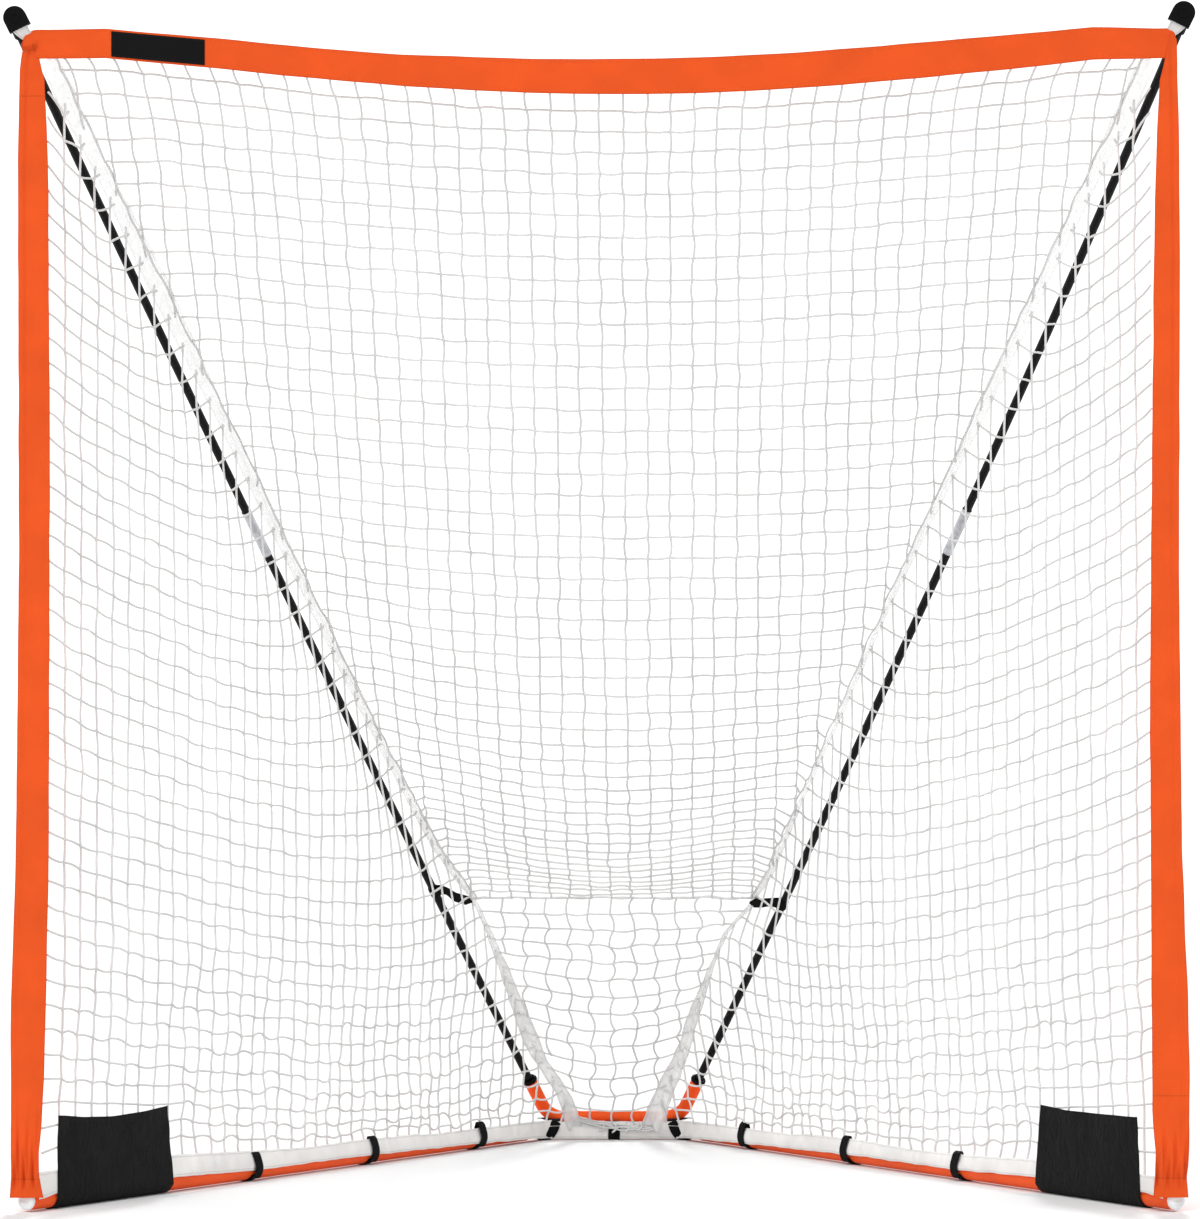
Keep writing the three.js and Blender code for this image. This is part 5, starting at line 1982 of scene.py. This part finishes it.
@dataclass
class Fixings:
    """The skirts, straps, corner panels and pull straps."""

    layout: Layout = LAYOUT
    strap_width: float = 22.5
    strap_pitch: float = 404.5
    strap_setback: float = 289
    panel_end: float = 394
    panel_starts: dict[Side, float] = field(default_factory=lambda: {Side.LEFT: 60, Side.RIGHT: 84})
    panel_leans: dict[Side, float] = field(default_factory=lambda: {Side.LEFT: 0, Side.RIGHT: 8})
    panel_slacks: dict[Side, float] = field(default_factory=lambda: {Side.LEFT: 6.5, Side.RIGHT: 3})
    panel_top: float = 148
    panel_lap: float = 46
    low_edge: Table = ((7, 21), (60, 26), (430, 26), (690, 19), (1000, 19), (1405, 13), (1710, 6), (1780, 3))
    skirt_start: float = 7
    skirt_thickness: float = 1.2
    strap_thickness: float = 1.6
    panel_thickness: float = 1.4
    pull_thickness: float = 1.3

    def build(self) -> None:
        """Builds every fixing on both sides and the ones at the back."""
        layout = self.layout
        for side in Side:
            self._skirt(side)
            self._panel(side)
            self._pull(side)
            for i in range(3):
                along = layout.axis_length - self.strap_setback - (2 - i) * self.strap_pitch
                self._rail_strap(side, i + 1, along)
            self._corner_strap(side)
        self._rear_skirt()
        outline = self._wrap(layout.stub_radius, (-13, 10), 3.6)
        centre = Vector((0, layout.depth, layout.ground_height))
        self._loop("middle_strap", outline, centre, Vector((0, 1, 0)), Side.RIGHT, "rear_strap")

    def _skirt(self, side: Side) -> None:
        """Builds the white skirt along a rail's inner side.

        Args:
            side: The half of the goal.
        """
        layout = self.layout
        start, end = self.skirt_start, layout.skirt_meet
        phase = 2.0 * side.value

        def place(u: float, v: float) -> Vector:
            """Finds a place on the skirt.

            Args:
                u: Share across its width.
                v: Share along its length.

            Returns:
                The place in the goal's plan.
            """
            along = lerp(start, end, v)
            low = between(self.low_edge, along) + 1.6 * ripple(along / 45, phase)
            top = between(layout.skirt_edges[side], along) + 1.1 * ripple(along / 30, 4.0, phase)
            z = lerp(low, top, u)
            pucker = math.sin(along / 6.5 + 5 * ripple(along / 60, phase) + 3.0 * u)
            lump = 1.2 * ripple(along / 22, z / 16, phase)
            crown = 1.7 * math.sin(math.pi * min(u + 0.12, 1.0))
            roll = 3.0 * smooth((u - 0.86) / 0.14)
            free = 0.12 + 0.88 * smooth((abs(along - 230) - 172) / 30)
            out = (1.1 * (pucker * (0.4 + 0.6 * u) + lump) + crown - roll) * free
            return layout.inside(along, layout.rail_radius + 1.5 + max(out, -0.7), z)

        name = f"{side.label}_skirt_cloth"
        mesh = sheet_mesh(name, 12, 900, (36, end - start), place, side)
        made = piece(name, mesh, "skirt", [f"{side.label}_rail_skirt"])
        thicken(made, self.skirt_thickness)
        flat = (0.036, round((end - start) * MM, 3))
        f"{side.label}_rail_tube"

    def _rear_skirt(self) -> None:
        """Builds the short skirt across the back."""
        layout = self.layout
        reach = layout.rear_middle - layout.skirt_meet + 3

        def place(u: float, v: float) -> Vector:
            """Finds a place on the skirt.

            Args:
                u: Share across its width.
                v: Share along its length.

            Returns:
                The place in the goal's plan.
            """
            x = lerp(-reach, reach, v)
            z = lerp(1.5, 35, u) + 0.8 * ripple(x / 30, u) * u
            pucker = math.sin(x / 5.5 + 3 * ripple(x / 40, u))
            out = layout.stub_radius + 2.2 + 0.6 * pucker + 1.4 * math.sin(math.pi * u)
            point = layout.inside(layout.rear_middle - abs(x), out, z)
            point.x = math.copysign(point.x, x)
            return point

        mesh = sheet_mesh("rear_skirt_cloth", 8, 160, (33, 2 * reach), place)
        made = piece("rear_skirt_cloth", mesh, "skirt", ["rear_skirt"])
        thicken(made, self.skirt_thickness)
        round(2 * reach * MM, 3)

    def _loop(
        self,
        name: str,
        outline: Sequence[tuple[float, float]],
        centre: Vector,
        outward: Vector,
        side: Side,
        node: str,
        slant: float = 0.0,
        belly: float = 0.0,
    ) -> None:
        """Wraps a strap round an outline.

        Args:
            name: The piece's name.
            outline: The strap's path as distance outwards and up from the centre; its end laps its start.
            centre: The middle of what it wraps.
            outward: The direction of the outline's first number.
            side: The half that it is on.
            node: The solid that it stands for.
            slant: How far it leans along the tube for each millimetre of height.
            belly: How far its middle bulges along the tube.
        """
        path = Path(outline)
        up = Vector((0, 0, 1))
        way = up.cross(outward)

        def place(u: float, v: float) -> Vector:
            """Finds a place on the strap.

            Args:
                u: Share across its width.
                v: Share along its length.

            Returns:
                The place in the goal's plan.
            """
            x, z = path.at(v * path.length)
            sway = 0.6 * ripple(v * 6, centre.x / 50) + (u - 0.5) * self.strap_width
            sway += slant * z + belly * math.exp(-(((z - 5) / 16) ** 2))
            return centre + outward * x + up * z + way * sway

        mesh = sheet_mesh(name, 6, 110, (self.strap_width, path.length), place, side)
        made = piece(name, mesh, "hook", [node])
        thicken(made, self.strap_thickness, 0.3)

    @staticmethod
    def _wrap(tube: float, skirt: tuple[float, float], gap: float) -> list[tuple[float, float]]:
        """Lays out a strap round a tube and the skirt beside it.

        Args:
            tube: The tube's radius.
            skirt: The heights between which the strap runs down the skirt, from the tube's axis.
            gap: How far the strap stands off the tube on the skirt's side.

        Returns:
            The path's points.
        """
        radius, reach = tube + 1.2, -(tube + gap)
        low, high = skirt
        corners = [Vector((reach + 3.2, low - 7, 0)), Vector((reach - 0.6, low, 0))]
        corners += [Vector((reach - 1.6, (low + high) / 2, 0)), Vector((reach, high - 4, 0))]
        corners += [Vector((reach + 6, high + 1.5, 0))]
        inner = [flow(corners, i / 24) for i in range(25)]
        ring = [math.radians(lerp(118, -158, i / 36)) for i in range(37)]
        lapped = [(radius * math.cos(angle), radius * math.sin(angle)) for angle in ring]
        return [(point.x, point.y) for point in inner] + lapped

    def _rail_strap(self, side: Side, number: int, along: float) -> None:
        """Wraps one hook-and-loop strap round a rail and its skirt.

        Args:
            side: The half of the goal.
            number: The strap's number, counted from the mouth.
            along: Its distance along the rail.
        """
        layout = self.layout
        self._loop(
            f"{side.label}_strap_{number}",
            self._wrap(layout.rail_radius, (-6, 32), 5.2),
            layout.beside(along, 0, layout.ground_height),
            Vector((math.cos(layout.angle), math.sin(layout.angle), 0)),
            side,
            f"{side.label}_rail_strap_{number}",
            belly=8.5,
        )

    def _corner_strap(self, side: Side) -> None:
        """Wraps the strap round a bend of the rear frame, with a loose tail.

        Args:
            side: The half of the goal.
        """
        layout = self.layout
        before, middle, after = layout.ground_route[7:10]
        way = (after - before).normalized()
        outward = Vector((way.y, -way.x, 0))
        radius, lap = layout.stub_radius + 2.6, layout.stub_radius + 4.4
        turns = [(radius, math.radians(lerp(-200, 150, i / 36))) for i in range(37)]
        turns += [(lap, math.radians(lerp(156, 92, i / 8))) for i in range(9)]
        turns = [(r + 5.4 * smooth(0.2 - 1.2 * math.cos(a)), a) for r, a in turns]
        outline = [(r * math.cos(a), r * math.sin(a)) for r, a in turns]
        outline += [(14, lap + 1.2), (27, lap + 2.6), (38, lap + 1.4)]
        node = f"{side.label}_corner_strap"
        self._loop(f"{side.label}_bend_strap", outline, middle, outward, side, node, slant=0.55)

    def _panel(self, side: Side) -> None:
        """Builds a corner panel: up the net's inner side, under the rail and a little way up its outer side.

        Args:
            side: The half of the goal.
        """
        layout = self.layout
        start = self.panel_starts[side]
        inner, radius = -(layout.rail_radius + 3.6), layout.rail_radius + 1.3
        under = [math.radians(angle) for angle in range(205, 361, 12)]
        path = Path(
            [(inner, self.panel_top - layout.ground_height), (inner, -3.0)]
            + [(radius * math.cos(angle), radius * math.sin(angle)) for angle in under]
            + [(radius, self.panel_lap - layout.ground_height)]
        )
        phase = 4.0 * side.value
        lean, slack = self.panel_leans[side], self.panel_slacks[side]

        def place(u: float, v: float) -> Vector:
            """Finds a place on the panel.

            Args:
                u: Share across its width.
                v: Share along its length.

            Returns:
                The place in the goal's plan.
            """
            x, z = path.at(u * path.length)
            low = smooth(1 - (z + layout.ground_height) / 150)
            along = lerp(start - lean * low, self.panel_end + 18 * low, v)
            free = smooth((z - 10) / 60) if x < 0 else 0.0
            ridge = 3.4 * ripple(along / 90, z / 70, phase) + 1.5 * ripple(along / 34, z / 30, phase)
            ridge += 1.2 * math.sin(along / 26 + z / 40 + 3 * ripple(along / 80, z / 60, phase))
            top = free * (1.4 * ripple(along / 70, phase) - slack * math.sin(math.pi * v))
            if side is Side.LEFT:
                top += 4.5 * free * smooth(1 - v / 0.4)
            return layout.beside(along, -x + max(ridge * free, -1.0), z + layout.ground_height + top)

        name = f"{side.label}_panel_cloth"
        mesh = sheet_mesh(name, 60, 90, (path.length, self.panel_end - start), place, side)
        made = piece(name, mesh, "panel", [f"{side.label}_corner_panel"])
        thicken(made, self.panel_thickness, 0.4)
        f"{side.label}_rail_tube"

    def _pull(self, side: Side) -> None:
        """Builds a pull strap: a loop round the pole whose ends are sewn together in a point at the fold.

        Args:
            side: The half of the goal.
        """
        layout = self.layout
        share = layout.pull_share - (0.012 if side is Side.RIGHT else 0)
        centre, way = layout.bow(share), layout.bow_way(share)
        reach = layout.fold - centre
        across = (reach - way * reach.dot(way)).normalized()
        up = way.cross(across)
        length, radius = reach.length - 4, layout.pole_radius + 1.1
        aim = (reach + Vector((0, 0, -9))).normalized()
        slew = aim.cross(up).normalized()
        turns = [math.radians(lerp(32, 328, i / 24)) for i in range(25)]
        loop = [(radius * math.cos(angle), radius * math.sin(angle)) for angle in turns]
        path = Path([(length, 0.9), (radius + 14, 1.0), *loop, (radius + 14, -1.0), (length, -0.9)])

        def place(u: float, v: float) -> Vector:
            """Finds a place on the strap.

            Args:
                u: Share across its width.
                v: Share along its length.

            Returns:
                The place in the goal's plan.
            """
            x, y = path.at(v * path.length)
            width = lerp(18, 21, smooth(x / length)) * min(1.0, 0.04 + (length - x) / 11)
            forward = Vector((0, -5.5 * smooth((x - 25) / 30), 0))
            turned = smooth((x - 9) / 34)
            heading, edge = across.lerp(aim, turned), way.lerp(slew, turned)
            return centre + heading * x + up * y + edge * ((u - 0.5) * width) + forward

        name = f"{side.label}_pull_loop"
        mesh = sheet_mesh(name, 8, 150, (20, path.length), place, side)
        made = piece(name, mesh, "pull", [f"{side.label}_pull_strap"])
        thicken(made, self.pull_thickness, 0.3)


@dataclass(frozen=True)
class Studio:
    """The floor, the lights and the camera."""

    focal_pixels: float = 5200
    tall_pixels: float = 1219
    eye: tuple[float, float, float] = (144, -8400, 735)
    pitch: float = 1.608
    yaw: float = 0.973
    roll: float = -0.10
    floor_grey: float = 0.77
    floor_size: float = 60
    lamps: tuple[tuple[str, tuple[float, float, float], float, float], ...] = (
        ("front", (-0.12, -0.6, 0.79), 1.8, 40),
        ("behind", (0.05, 0.82, 0.52), 2.8, 12),
    )

    def build(self) -> None:
        """Sets up everything that isn't the goal."""
        self._camera()
        self._floor()
        self._light()

    def _camera(self) -> None:
        """Puts the camera at the photograph's place and angle."""
        data = bpy.data.cameras.new("camera")
        data.sensor_width = 36
        data.lens = self.focal_pixels / self.tall_pixels * data.sensor_width
        data.clip_end = 200
        camera = bpy.data.objects.new("camera", data)
        bpy.context.scene.collection.objects.link(camera)
        camera.location = LAYOUT.at(Vector(self.eye))
        turns = ((self.yaw, "Z"), (90 + self.pitch, "X"), (self.roll, "Z"))
        yaw, pitch, roll = (Matrix.Rotation(math.radians(angle), 3, axis) for angle, axis in turns)
        camera.rotation_euler = (yaw @ pitch @ roll).to_euler()
        bpy.context.scene.camera = camera

    def _floor(self) -> None:
        """Lays a plain pale floor that reaches far beyond the view."""
        bm = bmesh.new()
        bmesh.ops.create_grid(bm, x_segments=1, y_segments=1, size=self.floor_size)
        floor = bpy.data.objects.new("floor", to_mesh(bm, "floor", outwards=False))
        bpy.context.scene.collection.objects.link(floor)
        paint = (self.floor_grey, self.floor_grey, self.floor_grey, 1)
        graph = Graph("floor")
        floor.data.materials.append(graph.surface(Base_Color=paint, Roughness=1.0, Specular_IOR_Level=0.0))

    def _light(self) -> None:
        """Lights the goal with a sky that is brightest low down, and two broad lamps."""
        scene = bpy.context.scene
        sky = Graph("sky", world=True)
        scene.world = sky.owner
        strength = sky.axis("Z").remap(0.1, 0.7, 1.38, 0.42)
        background = sky.node("Background", Color=(1, 1, 1, 1), Strength=strength)
        sky.node("OutputWorld", Surface=background.outputs[0])
        for name, toward, power, spread in self.lamps:
            data = bpy.data.lights.new(name, "SUN")
            data.energy = power
            data.angle = math.radians(spread)
            lamp = bpy.data.objects.new(name, data)
            scene.collection.objects.link(lamp)
            lamp.rotation_euler = (-Vector(toward)).to_track_quat("-Z", "Y").to_euler()
        scene.view_settings.view_transform = "Standard"


def main() -> None:
    """Builds the whole scene in order."""
    Studio().build()
    GroundFrame().build()
    Poles().build()
    Mouth().build()
    Nets().build()
    Fixings().build()


if __name__ == "__main__":
    main()
